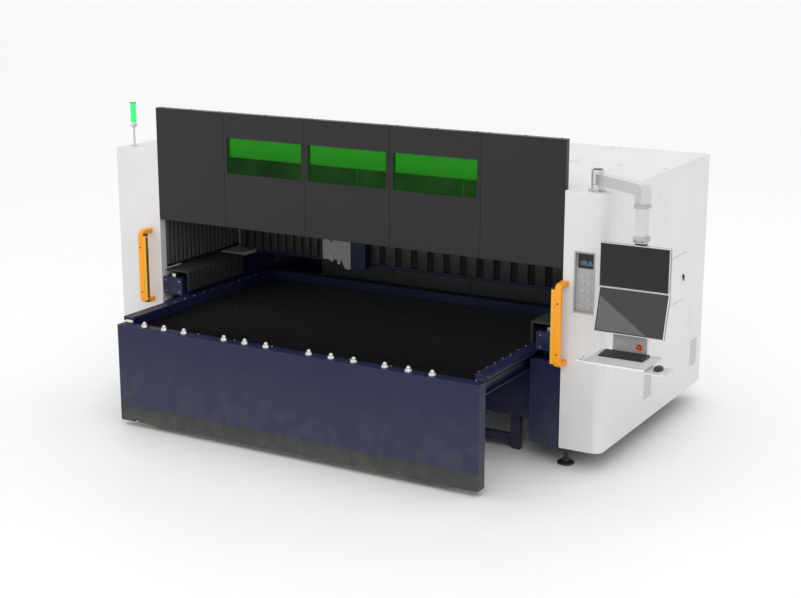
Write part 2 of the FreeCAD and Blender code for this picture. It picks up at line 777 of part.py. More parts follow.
def ball_units():
    """Cups with a steel ball each, in four rows of three along the top of the front panel."""
    y, top = s.table_front_y + 47, s.table_panel_top
    radius = s.ball_radius
    units = []
    for start in BALL_GROUPS:
        for number in range(3):
            x = start + s.ball_pitch * number
            cup = turned([(0, 0), (radius + 8, 0), (radius + 8, 7), (radius + 2, 24), (radius - 3, 24),
                          (radius - 3, 8), (0, 8)], x, y, top)
            ball = doc.addObject("Part::Sphere", "Ball")
            bind(ball, "Radius", radius - 4)
            move(ball, size_of(x), y, top + 8 + radius - 4)
            units += [cup, ball]
    return group(*units)


def build_table():
    keep(table_front_panel(), "table_front_panel")
    keep(kick_band(), "table_kick_band")
    keep(group(*both_sides(side_beam)), "table_side_beams")
    keep(group(table_cross_members(), *axle_brackets()), "table_cross_members")
    keep(wheel_set(), "table_wheel_set")
    keep(slats(), "table_slats")
    keep(ball_units(), "ball_units")


# ---- gantry ----

def long_rails():
    def rail():
        return box(rail_x - s.rail_width / 2, rail_x + s.rail_width / 2, 25, s.machine_depth - 20,
                   s.rail_beam_top, rail_top)
    return group(*both_sides(rail))


BLOCK_STARTS = (30, 310)


def saddle():
    """An end carriage: a plate box that joins the beam to the rail blocks."""
    inner, outer = leg_inner + 6, half_opening - s.leg_inset - 5
    base = rail_top + 12
    lower = box(inner, outer, s.saddle_front, saddle_back, base, base + 26)
    column = box(inner, outer, beam_front, saddle_back, base + 26, s.gantry_top)
    return fuse(lower, column)


def rail_block(start):
    gap = s.rail_clearance
    half = s.rail_width / 2 + gap
    y0 = s.saddle_front + start
    block = box(rail_x - 42, rail_x + 42, y0, y0 + 120, s.rail_beam_top + 5, rail_top + 12)
    slot = box(rail_x - half, rail_x + half, y0 - 1, y0 + 121, s.rail_beam_top, rail_top + gap)
    return cut(block, slot)


def gantry_beam():
    """A box beam across the machine, open at its ends, with a lip under the bellows."""
    inner = leg_inner + 6
    back = beam_front + s.gantry_beam_depth
    bottom = s.gantry_bottom + 24
    tube = box(-inner, inner, beam_front, back, bottom, s.gantry_top)
    hollow = box(-inner - 1, inner + 1, beam_front + 8, back - 8, bottom + 8, s.gantry_top - 8)
    lip = box(-inner, inner, s.gantry_front, back, s.gantry_bottom, bottom)
    return fuse(cut(tube, hollow), lip)


X_RAIL_Z = (1130, 1275)
bellows_end = half_opening - 76


def cross_rails():
    return [box(-bellows_end, bellows_end, beam_front - s.rail_height, beam_front,
                z - s.rail_width / 2, z + s.rail_width / 2) for z in X_RAIL_Z]


def lamellae(start, end, pitch, plate_share, make_plate, make_core):
    """Joins a core to plates that are spaced evenly along it."""
    count = max(2, int(round((end.value - start.value) / pitch)))
    step = (end - start) / count
    plates = [make_plate(start + step * number, start + step * (number + plate_share))
              for number in range(count)]
    return fuse(make_core(start, end), *plates)


def long_bellows(start, end):
    inner = leg_inner - 4
    outer = half_opening - s.leg_inset - 10
    low, top = rail_top - 135, rail_top + 30

    def core(y0, y1):
        side = box(inner + 6, inner + 12, y0, y1, low + 6, top)
        cover = box(inner + 6, outer, y0, y1, top - 6, top)
        return fuse(side, cover)

    def one_plate(y0, y1):
        return box(inner, inner + 6, y0, y1, low, top)

    def one_side():
        return lamellae(size_of(start), size_of(end), 108, 0.86, one_plate, core)

    return group(*both_sides(one_side))


def cross_bellows(start, end, pitch, plate_share):
    z0, z1 = s.gantry_bottom + 24.5, s.gantry_top - 4
    front = s.gantry_front

    def core(x0, x1):
        return box(x0, x1, front + 8, front + s.bellows_thickness, z0, z1)

    def one_plate(x0, x1):
        return box(x0, x1, front, front + 8, z0, z1)

    return lamellae(size_of(start), size_of(end), pitch, plate_share, one_plate, core)


def build_gantry():
    keep(long_rails(), "gantry_rails")
    saddles = both_sides(saddle)
    blocks = []
    for start in BLOCK_STARTS:
        blocks += both_sides(lambda: rail_block(start))
    keep(group(*saddles, *blocks), "gantry_saddles")
    keep(group(gantry_beam(), *cross_rails()), "gantry_beam")
    keep(long_bellows(25, s.saddle_front - 0.5), "rail_bellows_front")
    keep(long_bellows(saddle_back + 0.5, lining_front - 0.5), "rail_bellows_rear")
    keep(cross_bellows(-bellows_end, s.carriage_left - 0.5, 80, 0.72), "cross_bellows_left")
    keep(cross_bellows(s.carriage_right + 0.5, bellows_end, 150, 0.55), "cross_bellows_right")


# ---- carriage and cutting head ----

cover_right = s.carriage_left + s.cover_width
head_x = s.carriage_left + s.cover_width * 0.52
head_y = s.cover_front + 34


def carriage():
    """A back plate with slots over the cross rails, and the drive box beside the head."""
    top = s.gantry_top - 30
    back = beam_front - 0.5
    plate_part = box(s.carriage_left, s.carriage_right, s.gantry_front - 14, back,
                     s.gantry_bottom + 26, top)
    slots = []
    for z in X_RAIL_Z:
        half = s.rail_width / 2 + s.rail_clearance
        slots.append(box(s.carriage_left - 1, s.carriage_right + 1,
                         beam_front - s.rail_height - s.rail_clearance, back + 1, z - half, z + half))
    drive = box(cover_right + 2, s.carriage_right, s.cover_front, s.gantry_front - 14, 1027, top)
    return fuse(cut(plate_part, *slots), drive)


def head_cover():
    """A folded cover with a cut-away lower edge around the nozzle."""
    x0, x1 = s.carriage_left, cover_right
    z0, z1 = 1083, s.gantry_top - 24
    low = 1017
    outline = [(x0, z0), (x0 + 52, z0), (head_x - 40, z0 - 22), (head_x - 40, z0 + 4),
               (head_x + 40, z0 + 4), (x1 - 50, low), (x1, low), (x1, z1), (x0, z1)]
    face = plate("XZ", outline, s.cover_front - 3, s.cover_front)
    slot = box(x0 + 70, x0 + 100, s.cover_front - 5, s.cover_front + 5, z1 - 72, z1 - 64)
    depth = s.gantry_front - 14
    side = box(x0, x0 + 3, s.cover_front, depth, z0, z1)
    other_side = box(x1 - 3, x1, s.cover_front, depth, low, z1)
    return cut(fuse(face, side, other_side), slot)


def cutting_head():
    """A stepped body with its nozzle, on a slide plate."""
    bottom, top = s.nozzle_tip + 40, s.gantry_top - 20
    body = box(head_x - s.head_radius, head_x + s.head_radius, head_y - 28,
               s.gantry_front - 14.3, bottom + 70, top)
    neck = turned([(0, 0), (14, 0), (20, 16), (24, 40), (24, 70), (0, 70)], head_x, head_y, bottom)
    return fuse(body, neck)


def nozzle():
    length = 40
    return turned([(0, 0), (2.5, 0), (5, 6), (11, 20), (11, 24), (13, 26), (13, length),
                   (0, length)],
                  head_x, head_y, s.nozzle_tip)


def build_carriage():
    keep(carriage(), "carriage")
    keep(head_cover(), "head_cover")
    keep(cutting_head(), "cutting_head")
    keep(nozzle(), "nozzle")


# ---- operator console ----

JOURNAL = 24
boom_top = s.boom_bottom + s.boom_depth
socket_bottom = s.boom_bottom - 60
spine_front = tube_y
plate_front = tube_y - 53
tray_back = plate_front + 13


def arm_post():
    low = s.boom_bottom - s.roof_height - 0.7
    radius = s.post_radius
    return turned([(0, 0), (radius + 18, 0), (radius + 18, 8), (radius, 8), (radius, low),
                   (JOURNAL, low), (JOURNAL, s.post_height - 5), (0, s.post_height - 5)],
                  s.post_x, s.post_y, s.roof_height)


def local_plate(plane, outline, start, end):
    """A plate that is left in its own coordinates, to be placed together with others."""
    item = plate(plane, outline, start, end)
    base = {"XY": (0, 0, start), "XZ": (0, end, 0), "YZ": (start, 0, 0)}[plane]
    for axis, length in zip("xyz", base):
        bind(item, "Placement.Base." + axis, length)
    return item


def local_block(x0, x1, y0, y1, z0, z1):
    item = box(x0, x1, y0, y1, z0, z1)
    for axis, length in zip("xyz", (x0, y0, z0)):
        bind(item, "Placement.Base." + axis, length)
    return item


def local_round(radius, length, x, y, z, direction=(0, 0, 1)):
    item = cylinder(radius, length, x, y, z, direction)
    for axis, place in zip("xyz", (x, y, z)):
        bind(item, "Placement.Base." + axis, place)
    return item


def turn(item, axis, angle, x, y, z):
    """Turns a finished local item by an angle in degrees and moves its origin to a place."""
    holder = group(item)
    holder.Placement.Rotation = FreeCAD.Rotation(FreeCAD.Vector(*axis), angle)
    return move(holder, size_of(x), size_of(y), size_of(z))


def arm_boom():
    """A hub on the post, the level boom, and the bend down to the socket of the console."""
    z0 = s.boom_bottom
    half = s.boom_width / 2
    reach = s.boom_reach
    outline = [(30, z0), (reach - half, z0), (reach - half, socket_bottom),
               (reach + half, socket_bottom), (reach + half, boom_top), (30, boom_top)]
    beam = local_plate("XZ", outline, -half, half)

    def outer_bend(middle, along):
        near_top = abs(middle.z - boom_top.value) < 1
        return abs(along.y) > 0.9 and near_top and middle.x > reach.value

    def inner_bend(middle, along):
        at_corner = abs(middle.z - z0.value) < 1
        return abs(along.y) > 0.9 and at_corner and abs(middle.x - (reach - half).value) < 1

    round_edges(beam, 62, outer_bend)
    round_edges(beam, 14, inner_bend)
    hub = local_round(s.post_radius, s.post_height - (z0 - s.roof_height), 0, 0, z0)
    bore = local_round(JOURNAL + 0.05, s.post_height - (z0 - s.roof_height) - 3.5, 0, 0, z0 - 1)
    socket = local_round(JOURNAL + 0.05, 60, reach, 0, socket_bottom - 1)
    boom = cut(fuse(beam, hub), bore, socket)
    return turn(boom, (0, 0, 1), s.boom_angle.value, s.post_x, s.post_y, 0)


EAR_X = (-42, 32)
MONITOR_SHIFT = -14
PIN_RADIUS = 6


def monitor_ears(y, z):
    """Two ears on the spine, with bores for the tilt pin of a monitor."""
    ears = []
    for x in EAR_X:
        ear = box(tube_x + x, tube_x + x + 10, y - 12, spine_front, z - 14, z + 14)
        bore = cylinder(PIN_RADIUS + 0.05, 12, tube_x + x - 1, y, z, (1, 0, 0))
        ears.append(cut(ear, bore))
    return ears


upper_hinge_y = spine_front - 24
lower_hinge_y = spine_front - 58
lower_hinge_z = s.lower_monitor_z - 14


def console_column():
    """The tube from the boom, the spine behind the monitors and the plate above the tray."""
    half = s.tube_width / 2
    low = s.upper_monitor_z + s.monitor_height / 2 + 8
    journal = cylinder(JOURNAL, 50, tube_x, tube_y, socket_bottom - 0.5)
    tube = box(tube_x - half, tube_x + half, tube_y - half, tube_y + half, low, socket_bottom - 0.5)
    collar = box(tube_x - half - 8, tube_x + half + 8, tube_y - half - 8, tube_y + half + 8, low,
                 low + 36)
    spine = box(tube_x - 44, tube_x + 44, spine_front, spine_front + 35, s.tray_height, low)
    foot = box(tube_x - 157, tube_x + 92, plate_front, spine_front, s.tray_height,
               s.tray_height + 130)
    bore = cylinder(8.05, 14, estop_x, plate_front - 1, estop_z, (0, 1, 0))
    ears = monitor_ears(upper_hinge_y, s.upper_monitor_z) + monitor_ears(lower_hinge_y, lower_hinge_z)
    return fuse(journal, tube, collar, spine, cut(foot, bore), *ears)


estop_x = tube_x + 38
estop_z = s.tray_height + 53


def monitor(y, z, tilt):
    """A flat screen with a rear boss and a tilt pin, built around the pin."""
    width, height, thick = s.monitor_width, s.monitor_height, s.monitor_thickness
    back = -21
    up = 14 if tilt else 0
    case = local_plate("XZ", rectangle(-width / 2 + MONITOR_SHIFT, width / 2 + MONITOR_SHIFT,
                                       up - height / 2, up + height / 2), back - thick, back)
    boss = local_block(-31, 31, back, -2, -12, 12)
    pin = local_round(PIN_RADIUS, 88, -44, 0, 0, (1, 0, 0))
    return turn(fuse(case, boss, pin), (1, 0, 0), -tilt, tube_x, y, z)


def estop_button():
    stem = cylinder(8, 16, estop_x, plate_front - 9, estop_z, (0, 1, 0))
    cap = cylinder(19, 13, estop_x, plate_front - 21, estop_z, (0, 1, 0))
    return fuse(stem, cap)


def keyboard_tray():
    """A flat tray with a looped grab bar at its left end, and a low shelf for the mouse."""
    z0, z1 = s.tray_height - s.tray_thickness, s.tray_height
    tray_right = tray_left + s.tray_width
    tray = box(tray_left, tray_right, tray_back - s.tray_depth, tray_back, z0, z1)
    bar = s.tray_thickness
    y0 = tray_back - s.tray_depth + 8
    loop = [box(tray_left - 78, tray_left, y0, y0 + 12, z0, z1),
            box(tray_left - 78, tray_left, y0 + 118, y0 + 130, z0, z1),
            box(tray_left - 90, tray_left - 78, y0, y0 + 130, z0, z1)]
    shelf = box(tray_right - 30, tray_right + s.shelf_width, tray_back - s.tray_depth,
                tray_back - s.tray_depth + 175, z0 - 8, z0)
    return group(fuse(tray, *loop), shelf)


def keyboard():
    x0 = tray_left + 50
    y0 = tray_back - 185
    outline = [(y0, s.tray_height), (y0 + s.keyboard_depth, s.tray_height),
               (y0 + s.keyboard_depth, s.tray_height + 20), (y0, s.tray_height + 11)]
    return plate("YZ", outline, x0, x0 + s.keyboard_width)


def mouse():
    """A low rounded shell with a flat base on the shelf."""
    x, y = tray_left + s.tray_width + 62, tray_back - s.tray_depth + 100
    z = s.tray_height - s.tray_thickness
    shell = doc.addObject("Part::Ellipsoid", "Shell")
    shell.Radius1 = 24
    shell.Radius2 = 30
    shell.Radius3 = 52
    move(shell, x, y, z + 6)
    below = box(x - 60, x + 60, y - 60, y + 60, z - 40, z)
    return cut(shell, below)


def build_console():
    keep(arm_post(), "arm_post")
    keep(arm_boom(), "arm_boom")
    keep(console_column(), "console_column")
    keep(monitor(upper_hinge_y, s.upper_monitor_z, 0), "upper_monitor")
    keep(monitor(lower_hinge_y, lower_hinge_z, s.lower_monitor_tilt.value), "lower_monitor")
    keep(estop_button(), "emergency_stop")
    keep(keyboard_tray(), "keyboard_tray")
    keep(keyboard(), "keyboard")
    keep(mouse(), "mouse")


build_bed()
build_enclosure()
build_bulkhead()
build_light_tower()
build_guards()
build_control_panel()
build_table()
build_gantry()
build_carriage()
build_console()
doc.recompute()

for item in doc.Objects:
    if "Invalid" in item.State or "Error" in item.State:
        raise RuntimeError("%s failed: %s" % (item.Name, item.State))
os.makedirs("parts", exist_ok=True)
for item in subparts:
    if item.Shape.isNull() or not item.Shape.isValid():
        raise RuntimeError("%s has no valid shape" % item.Label)
    item.Shape.exportStep("parts/%s.step" % item.Label)
    bounds = item.Shape.BoundBox
    print("%-24s %2d solids  x %8.1f %8.1f  y %8.1f %8.1f  z %7.1f %7.1f" % (
        item.Label, len(item.Shape.Solids), bounds.XMin, bounds.XMax, bounds.YMin, bounds.YMax,
        bounds.ZMin, bounds.ZMax))
print("origin", origin_x.value, origin_y.value, "files", len(subparts))
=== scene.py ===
# %% [markdown]
# # A fiber laser cutting machine, dressed in Blender
#
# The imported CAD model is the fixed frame: its pieces have the true sizes and ride on the bodies that
# move. This script gives every surface a procedural finish, rounds the sheet-metal edges, and adds the
# small things that CAD left plain: toothed slats, folding bellows, gaskets, screws, louvres, keys,
# screens and grips. All lengths are metres in the frame of the CAD model: X along the front,
# Y to the back and Z up, with the floor at zero.

# %% Load the frame
import json
import math
import random

import bpy
import mathutils
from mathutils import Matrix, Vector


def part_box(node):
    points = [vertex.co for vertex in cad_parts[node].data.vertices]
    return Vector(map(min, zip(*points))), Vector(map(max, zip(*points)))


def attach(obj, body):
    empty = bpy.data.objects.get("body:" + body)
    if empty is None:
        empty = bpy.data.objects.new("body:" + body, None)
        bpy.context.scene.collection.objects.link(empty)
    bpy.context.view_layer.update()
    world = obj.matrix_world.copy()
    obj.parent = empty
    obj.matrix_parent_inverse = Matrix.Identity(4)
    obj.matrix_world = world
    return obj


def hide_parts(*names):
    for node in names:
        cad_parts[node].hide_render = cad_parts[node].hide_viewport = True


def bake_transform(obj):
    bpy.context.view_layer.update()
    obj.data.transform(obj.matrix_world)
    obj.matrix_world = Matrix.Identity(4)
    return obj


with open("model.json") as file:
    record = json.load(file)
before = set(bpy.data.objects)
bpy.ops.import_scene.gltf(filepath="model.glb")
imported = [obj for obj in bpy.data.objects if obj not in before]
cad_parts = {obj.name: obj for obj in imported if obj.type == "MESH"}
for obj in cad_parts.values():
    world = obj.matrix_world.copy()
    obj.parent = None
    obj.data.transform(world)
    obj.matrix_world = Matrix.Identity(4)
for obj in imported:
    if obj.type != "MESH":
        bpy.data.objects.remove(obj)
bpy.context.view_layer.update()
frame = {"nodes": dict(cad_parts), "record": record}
nodes = frame["nodes"]

# %% [markdown]
# ## Shader arithmetic
#
# A `Value` wraps a shader socket so that a pattern can be written as a sum. Each operator makes one
# Math node. A `Finish` owns one material: it makes nodes, and it feeds the Principled shader.

# %% Values and finishes


class Value:
    """A shader socket that adds, subtracts, multiplies and divides like a number."""

    def __init__(self, finish, socket):
        self.finish = finish
        self.socket = socket

    def math(self, operation, first, second=0.0):
        node = self.finish.node("ShaderNodeMath", {"operation": operation}, {0: first, 1: second})
        return Value(self.finish, node.outputs[0])

    def __add__(self, other):
        return self.math("ADD", self, other)

    def __radd__(self, other):
        return self.math("ADD", other, self)

    def __sub__(self, other):
        return self.math("SUBTRACT", self, other)

    def __rsub__(self, other):
        return self.math("SUBTRACT", other, self)

    def __mul__(self, other):
        return self.math("MULTIPLY", self, other)

    def __rmul__(self, other):
        return self.math("MULTIPLY", other, self)

    def __truediv__(self, other):
        return self.math("DIVIDE", self, other)

    def __pow__(self, other):
        return self.math("POWER", self, other)

    def sine(self):
        return self.math("SINE", self)

    def ramp(self, low, high, out_low=0.0, out_high=1.0):
        """Maps low..high to out_low..out_high, smoothly and held at both ends."""
        node = self.finish.node("ShaderNodeMapRange", {"interpolation_type": "SMOOTHSTEP"},
                                {0: self, 1: low, 2: high, 3: out_low, 4: out_high})
        return Value(self.finish, node.outputs[0])


class Finish:
    """One procedural material, built around its Principled shader."""

    def __init__(self, name):
        self.material = bpy.data.materials.new(name)
        self.material.use_nodes = True
        self.tree = self.material.node_tree
        self.shader = self.tree.nodes["Principled BSDF"]
        self.place = self.node("ShaderNodeTexCoord").outputs["Object"]

    def feed(self, socket, value):
        if isinstance(value, Value):
            value = value.socket
        if isinstance(value, bpy.types.NodeSocket):
            self.tree.links.new(value, socket)
        else:
            socket.default_value = value

    def node(self, kind, settings=None, inputs=None):
        made = self.tree.nodes.new(kind)
        for name, setting in (settings or {}).items():
            setattr(made, name, setting)
        for key, value in (inputs or {}).items():
            self.feed(made.inputs[key], value)
        return made

    def axis(self, name):
        """The object coordinate along X, Y or Z."""
        return Value(self, self.node("ShaderNodeSeparateXYZ", {}, {0: self.place}).outputs[name])

    def stretched(self, scale):
        mapping = self.node("ShaderNodeMapping", {}, {"Vector": self.place, "Scale": scale})
        return mapping.outputs[0]

    def noise(self, scale, detail=3.0, stretch=None):
        """Cloudy noise from 0 to 1; stretch gives the relative scale on each axis."""
        vector = self.stretched(stretch) if stretch else self.place
        made = self.node("ShaderNodeTexNoise", {}, {"Vector": vector, "Scale": scale,
                                                    "Detail": detail})
        return Value(self, made.outputs["Fac"])

    def cells(self, scale, stretch=None):
        """Distance to the nearest of scattered points."""
        vector = self.stretched(stretch) if stretch else self.place
        made = self.node("ShaderNodeTexVoronoi", {}, {"Vector": vector, "Scale": scale})
        return Value(self, made.outputs["Distance"])

    def worn_edges(self, radius, strength=1.0):
        """Near 1 on outer corners: where a rounded normal differs from the true one."""
        soft = self.node("ShaderNodeBevel", {"samples": 4}, {"Radius": radius}).outputs[0]
        true = self.node("ShaderNodeNewGeometry").outputs["Normal"]
        dot = self.node("ShaderNodeVectorMath", {"operation": "DOT_PRODUCT"}, {0: soft, 1: true})
        turned = 1.0 - Value(self, dot.outputs["Value"])
        return turned.ramp(0.02, 0.16, 0.0, strength)

    def mix(self, amount, first, second):
        """A colour between two others; each is a tuple or a socket."""
        made = self.node("ShaderNodeMix", {"data_type": "RGBA"}, {"Factor": amount})
        sockets = [entry for entry in made.inputs if entry.type == "RGBA"]
        for socket, colour in zip(sockets, (first, second)):
            self.feed(socket, colour)
        return [entry for entry in made.outputs if entry.type == "RGBA"][0]

    def bump(self, height, distance, strength=1.0):
        made = self.node("ShaderNodeBump", {}, {"Strength": strength, "Distance": distance,
                                                "Height": height})
        self.feed(self.shader.inputs["Normal"], made.outputs[0])

    def set(self, **values):
        """Feeds Principled inputs; Base_Color stands for "Base Color"."""
        for name, value in values.items():
            self.feed(self.shader.inputs[name.replace("_", " ")], value)
        return self.material


def rgb(red, green, blue):
    return (red, green, blue, 1.0)


def shade(colour, factor):
    return tuple(min(1.0, part * factor) for part in colour[:3]) + (1.0,)


# %% [markdown]
# ## Coated sheet metal
#
# Powder coat has a fine orange-peel skin, slow patches of sheen, a little dust that settles low
# down, and edges rubbed to a lighter tone. One recipe serves every painted colour.

# %% Painted finishes


def painted(name, colour, roughness=0.38, dust=0.12, wear=0.25, dust_top=0.9, peel=0.00012):
    f = Finish(name)
    patches = f.noise(1.7, 5)
    fine = f.noise(60, 3)
    dusty = f.axis("Z").ramp(0.0, dust_top, dust, 0.0) * f.noise(9, 4).ramp(0.35, 0.75, 0.5, 1.0)
    tone = f.mix(patches.ramp(0.3, 0.7, 0.0, 0.45), colour, shade(colour, 0.9))
    tone = f.mix(f.worn_edges(0.003, wear) * fine.ramp(0.35, 0.6), tone, shade(colour, 1.9))
    tone = f.mix(dusty, tone, rgb(0.36, 0.33, 0.29))
    smears = f.noise(2.2, 4, (1.0, 1.0, 0.25)).ramp(0.45, 0.75)
    rough = roughness + 0.10 * (patches - 0.5) + 0.12 * smears + 0.35 * dusty
    f.bump(f.noise(850, 2), peel, 0.6)
    return f.set(Base_Color=tone, Roughness=rough, Specular_IOR_Level=0.32)


NAVY = rgb(0.009, 0.013, 0.050)
WHITE = rgb(0.73, 0.73, 0.73)
CHARCOAL = rgb(0.014, 0.014, 0.015)
PAINTS = {
    "navy_paint": painted("navy_paint", NAVY, 0.40, 0.10),
    "white_paint": painted("white_paint", WHITE, 0.34, 0.10, 0.15),
    "charcoal_paint": painted("charcoal_paint", CHARCOAL, 0.36, 0.04),
    "kick_paint": painted("kick_paint", rgb(0.020, 0.022, 0.022), 0.5, 0.18, 0.3, 0.35),
    "grey_paint": painted("grey_paint", rgb(0.42, 0.42, 0.43), 0.36, 0.05),
    "orange_paint": painted("orange_paint", rgb(0.95, 0.36, 0.02), 0.35, 0.03, 0.4),
    # Painted shade: the dark grey of the sheet over the back lining, which stands in for the shade inside the
    # chamber.
    "inner_shade_paint": painted("inner_shade_paint", rgb(0.17, 0.175, 0.18), 0.5, 0.15, 0.3, 1.6),
}
print("painted finishes:", ", ".join(PAINTS))

# %% [markdown]
# ## Bare metal
#
# Ground and brushed metal is streaked along the direction of the work: noise stretched a hundred
# times along one axis drives both the roughness and a very shallow bump.

# %% Metal finishes


def metal(name, colour, roughness, stretch, streak=0.16, grime=0.0):
    f = Finish(name)
    lines = f.noise(4.0, 6, stretch)
    stains = f.noise(5.0, 5)
    tone = f.mix(lines.ramp(0.3, 0.7, 0.0, 0.5), colour, shade(colour, 0.82))
    tone = f.mix(stains.ramp(0.5, 0.8, 0.0, grime), tone, rgb(0.10, 0.075, 0.055))
    rough = roughness + streak * (lines - 0.5) + 0.3 * grime * stains
    f.bump(lines, 0.00006, 0.5)
    return f.set(Base_Color=tone, Roughness=rough, Metallic=1.0)


PAINTS["steel"] = metal("steel", rgb(0.62, 0.62, 0.61), 0.24, (60, 2, 60))
PAINTS["aluminium"] = metal("aluminium", rgb(0.66, 0.67, 0.68), 0.34, (70, 70, 1.5))
PAINTS["dark_steel"] = metal("dark_steel", rgb(0.075, 0.075, 0.08), 0.5, (8, 8, 8), 0.2, 0.5)
PAINTS["chrome"] = metal("chrome", rgb(0.83, 0.84, 0.85), 0.07, (3, 3, 3), 0.04)
PAINTS["scorched"] = metal("scorched", rgb(0.045, 0.045, 0.047), 0.5, (2, 9, 40), 0.2, 0.15)
print("bare metals made")

# %% [markdown]
# ## Plastics, rubber, glass and light
#
# Moulded plastic has a fine grain. The green panes let light through with a tint, and only part of
# their surface mirrors. The beacon glows, more in its middle than at the ribs.

# %% Plastic, pane and lamp finishes


def moulded(name, colour, roughness=0.45, grain=0.00008, scale=900):
    f = Finish(name)
    clouds = f.noise(6, 4)
    tone = f.mix(clouds.ramp(0.3, 0.7, 0.0, 0.4), colour, shade(colour, 0.85))
    tone = f.mix(f.worn_edges(0.0015, 0.25), tone, shade(colour, 1.7))
    f.bump(f.cells(scale), grain, 0.5)
    return f.set(Base_Color=tone, Roughness=roughness + 0.12 * (clouds - 0.5))


def glossy(name, colour, roughness=0.08):
    f = Finish(name)
    prints = f.noise(14, 5, (1, 1, 0.5)).ramp(0.5, 0.8)
    f.bump(f.noise(3, 2), 0.0004, 0.15)
    return f.set(Base_Color=f.mix(prints * 0.3, colour, shade(colour, 2.2)),
                 Roughness=roughness + 0.10 * prints, Coat_Weight=0.12, Coat_Roughness=0.03,
                 Specular_IOR_Level=0.3)


def pane(name, tint):
    """Clear tinted sheet: a tinted see-through shader mixed with a glossy one."""
    f = Finish(name)
    smudge = f.noise(5, 5, (1, 1, 0.4)).ramp(0.4, 0.75)
    f.set(Base_Color=shade(tint, 0.35), Roughness=0.05 + 0.12 * smudge)
    clear = f.node("ShaderNodeBsdfTransparent", {}, {"Color": tint})
    both = f.node("ShaderNodeMixShader", {}, {0: 0.10 + 0.08 * smudge})
    f.tree.links.new(clear.outputs[0], both.inputs[1])
    f.tree.links.new(f.shader.outputs[0], both.inputs[2])
    f.tree.links.new(both.outputs[0], f.tree.nodes["Material Output"].inputs[0])
    return f.material


def glowing(name, colour, strength, period=0.0):
    f = Finish(name)
    tone = colour
    if period:
        rib = (f.axis("Z") * (math.tau / period)).sine()
        tone = f.mix(rib.ramp(-0.6, 0.9), shade(colour, 0.45), colour)
    f.set(Base_Color=shade(colour, 0.7), Roughness=0.2 + 0.1 * f.noise(20))
    return f.set(Emission_Color=tone, Emission_Strength=strength)


PAINTS["black_plastic"] = moulded("black_plastic", rgb(0.016, 0.016, 0.017), 0.42)
PAINTS["grey_plastic"] = moulded("grey_plastic", rgb(0.55, 0.56, 0.57), 0.4)
PAINTS["yellow_plastic"] = moulded("yellow_plastic", rgb(0.85, 0.42, 0.03), 0.4)
PAINTS["black_rubber"] = moulded("black_rubber", rgb(0.014, 0.014, 0.014), 0.7, 0.0002, 400)
PAINTS["bellows"] = moulded("bellows", rgb(0.034, 0.035, 0.037), 0.5, 0.00015, 500)
PAINTS["red_plastic"] = glossy("red_plastic", rgb(0.55, 0.012, 0.012), 0.2)
PAINTS["black_gloss"] = glossy("black_gloss", rgb(0.008, 0.008, 0.010), 0.09)
PAINTS["green_pane"] = pane("green_pane", rgb(0.13, 0.56, 0.10))
PAINTS["lamp_green"] = glowing("lamp_green", rgb(0.02, 1.0, 0.12), 2.2, 0.0115)
PAINTS["void_black"] = moulded("void_black", rgb(0.004, 0.004, 0.004), 0.8)
print(len(PAINTS), "finishes in all")

# %% [markdown]
# ## Finishes on the CAD pieces
#
# Every CAD piece takes the finish of its slot in the record. CAD faces meet in razor edges, so
# modifiers weld the loose triangles, merge flat areas and round the edges; the meshes underneath
# stay as they are.

# %% Dress the CAD pieces
slot_of = {entry["node"]: entry["material_slot"] for entry in frame["record"]["subparts"]}
EDGE = {"white_paint": 0.0025, "navy_paint": 0.003, "charcoal_paint": 0.002, "kick_paint": 0.003,
        "grey_paint": 0.002, "orange_paint": 0.004, "aluminium": 0.0025, "steel": 0.0015,
        "black_plastic": 0.002, "black_gloss": 0.003, "grey_plastic": 0.002, "dark_steel": 0.0015,
        "red_plastic": 0.002, "yellow_plastic": 0.002, "bellows": 0.0015}
EDGE_OF_NODE = {"roof_panels": 0.0008, "side_panels_left": 0.0008, "side_panels_right": 0.0008,
                "rear_wall": 0.0008, "table_slats": 0.0, "window_panes": 0.0,
                "pillar_cover_left": 0.0012, "pillar_cover_right": 0.0012}


def deselect():
    bpy.ops.object.select_all(action="DESELECT")


def select_only(item):
    deselect()
    item.select_set(True)
    bpy.context.view_layer.objects.active = item


def dress(node, finish, edge):
    select_only(node)
    if node.data.has_custom_normals:
        bpy.ops.mesh.customdata_custom_splitnormals_clear()
    bpy.ops.object.shade_smooth()
    node.data.materials.clear()
    node.data.materials.append(PAINTS[finish])
    weld = node.modifiers.new("weld", "WELD")
    weld.merge_threshold = 0.00002
    flat = node.modifiers.new("flat", "DECIMATE")
    flat.decimate_type = "DISSOLVE"
    flat.angle_limit = math.radians(0.5)
    if edge:
        rounding = node.modifiers.new("edge", "BEVEL")
        rounding.width = edge
        rounding.segments = 2
        rounding.limit_method = "ANGLE"
        rounding.angle_limit = math.radians(40)
    node.modifiers.new("triangles", "TRIANGULATE")
    node.modifiers.new("normals", "WEIGHTED_NORMAL").keep_sharp = True


for name, node in nodes.items():
    finish = slot_of[name]
    dress(node, finish, EDGE_OF_NODE.get(name, EDGE.get(finish, 0.0)))
print("dressed", len(nodes), "CAD pieces")

# %% [markdown]
# ## Modelling helpers
#
# Each new piece starts as a primitive, is shaped in edit mode, and ends with its mesh in the machine's
# own frame: `settle` applies the transform, gives the finish and ties the piece to its body.

# %% Helpers for new pieces


def edit(mode="FACE"):
    bpy.ops.object.mode_set(mode="EDIT")
    bpy.ops.mesh.select_mode(type=mode)


def leave():
    bpy.ops.object.mode_set(mode="OBJECT")


def pick(item, wanted, mode="FACE"):
    """Selects the faces whose centre and normal are wanted, and stays in edit mode."""
    edit(mode)
    bpy.ops.mesh.select_all(action="DESELECT")
    leave()
    for face in item.data.polygons:
        face.select = wanted(face.center, face.normal)
    edit(mode)


def apply_transform(item):
    select_only(item)
    bpy.ops.object.transform_apply(location=True, rotation=True, scale=True)


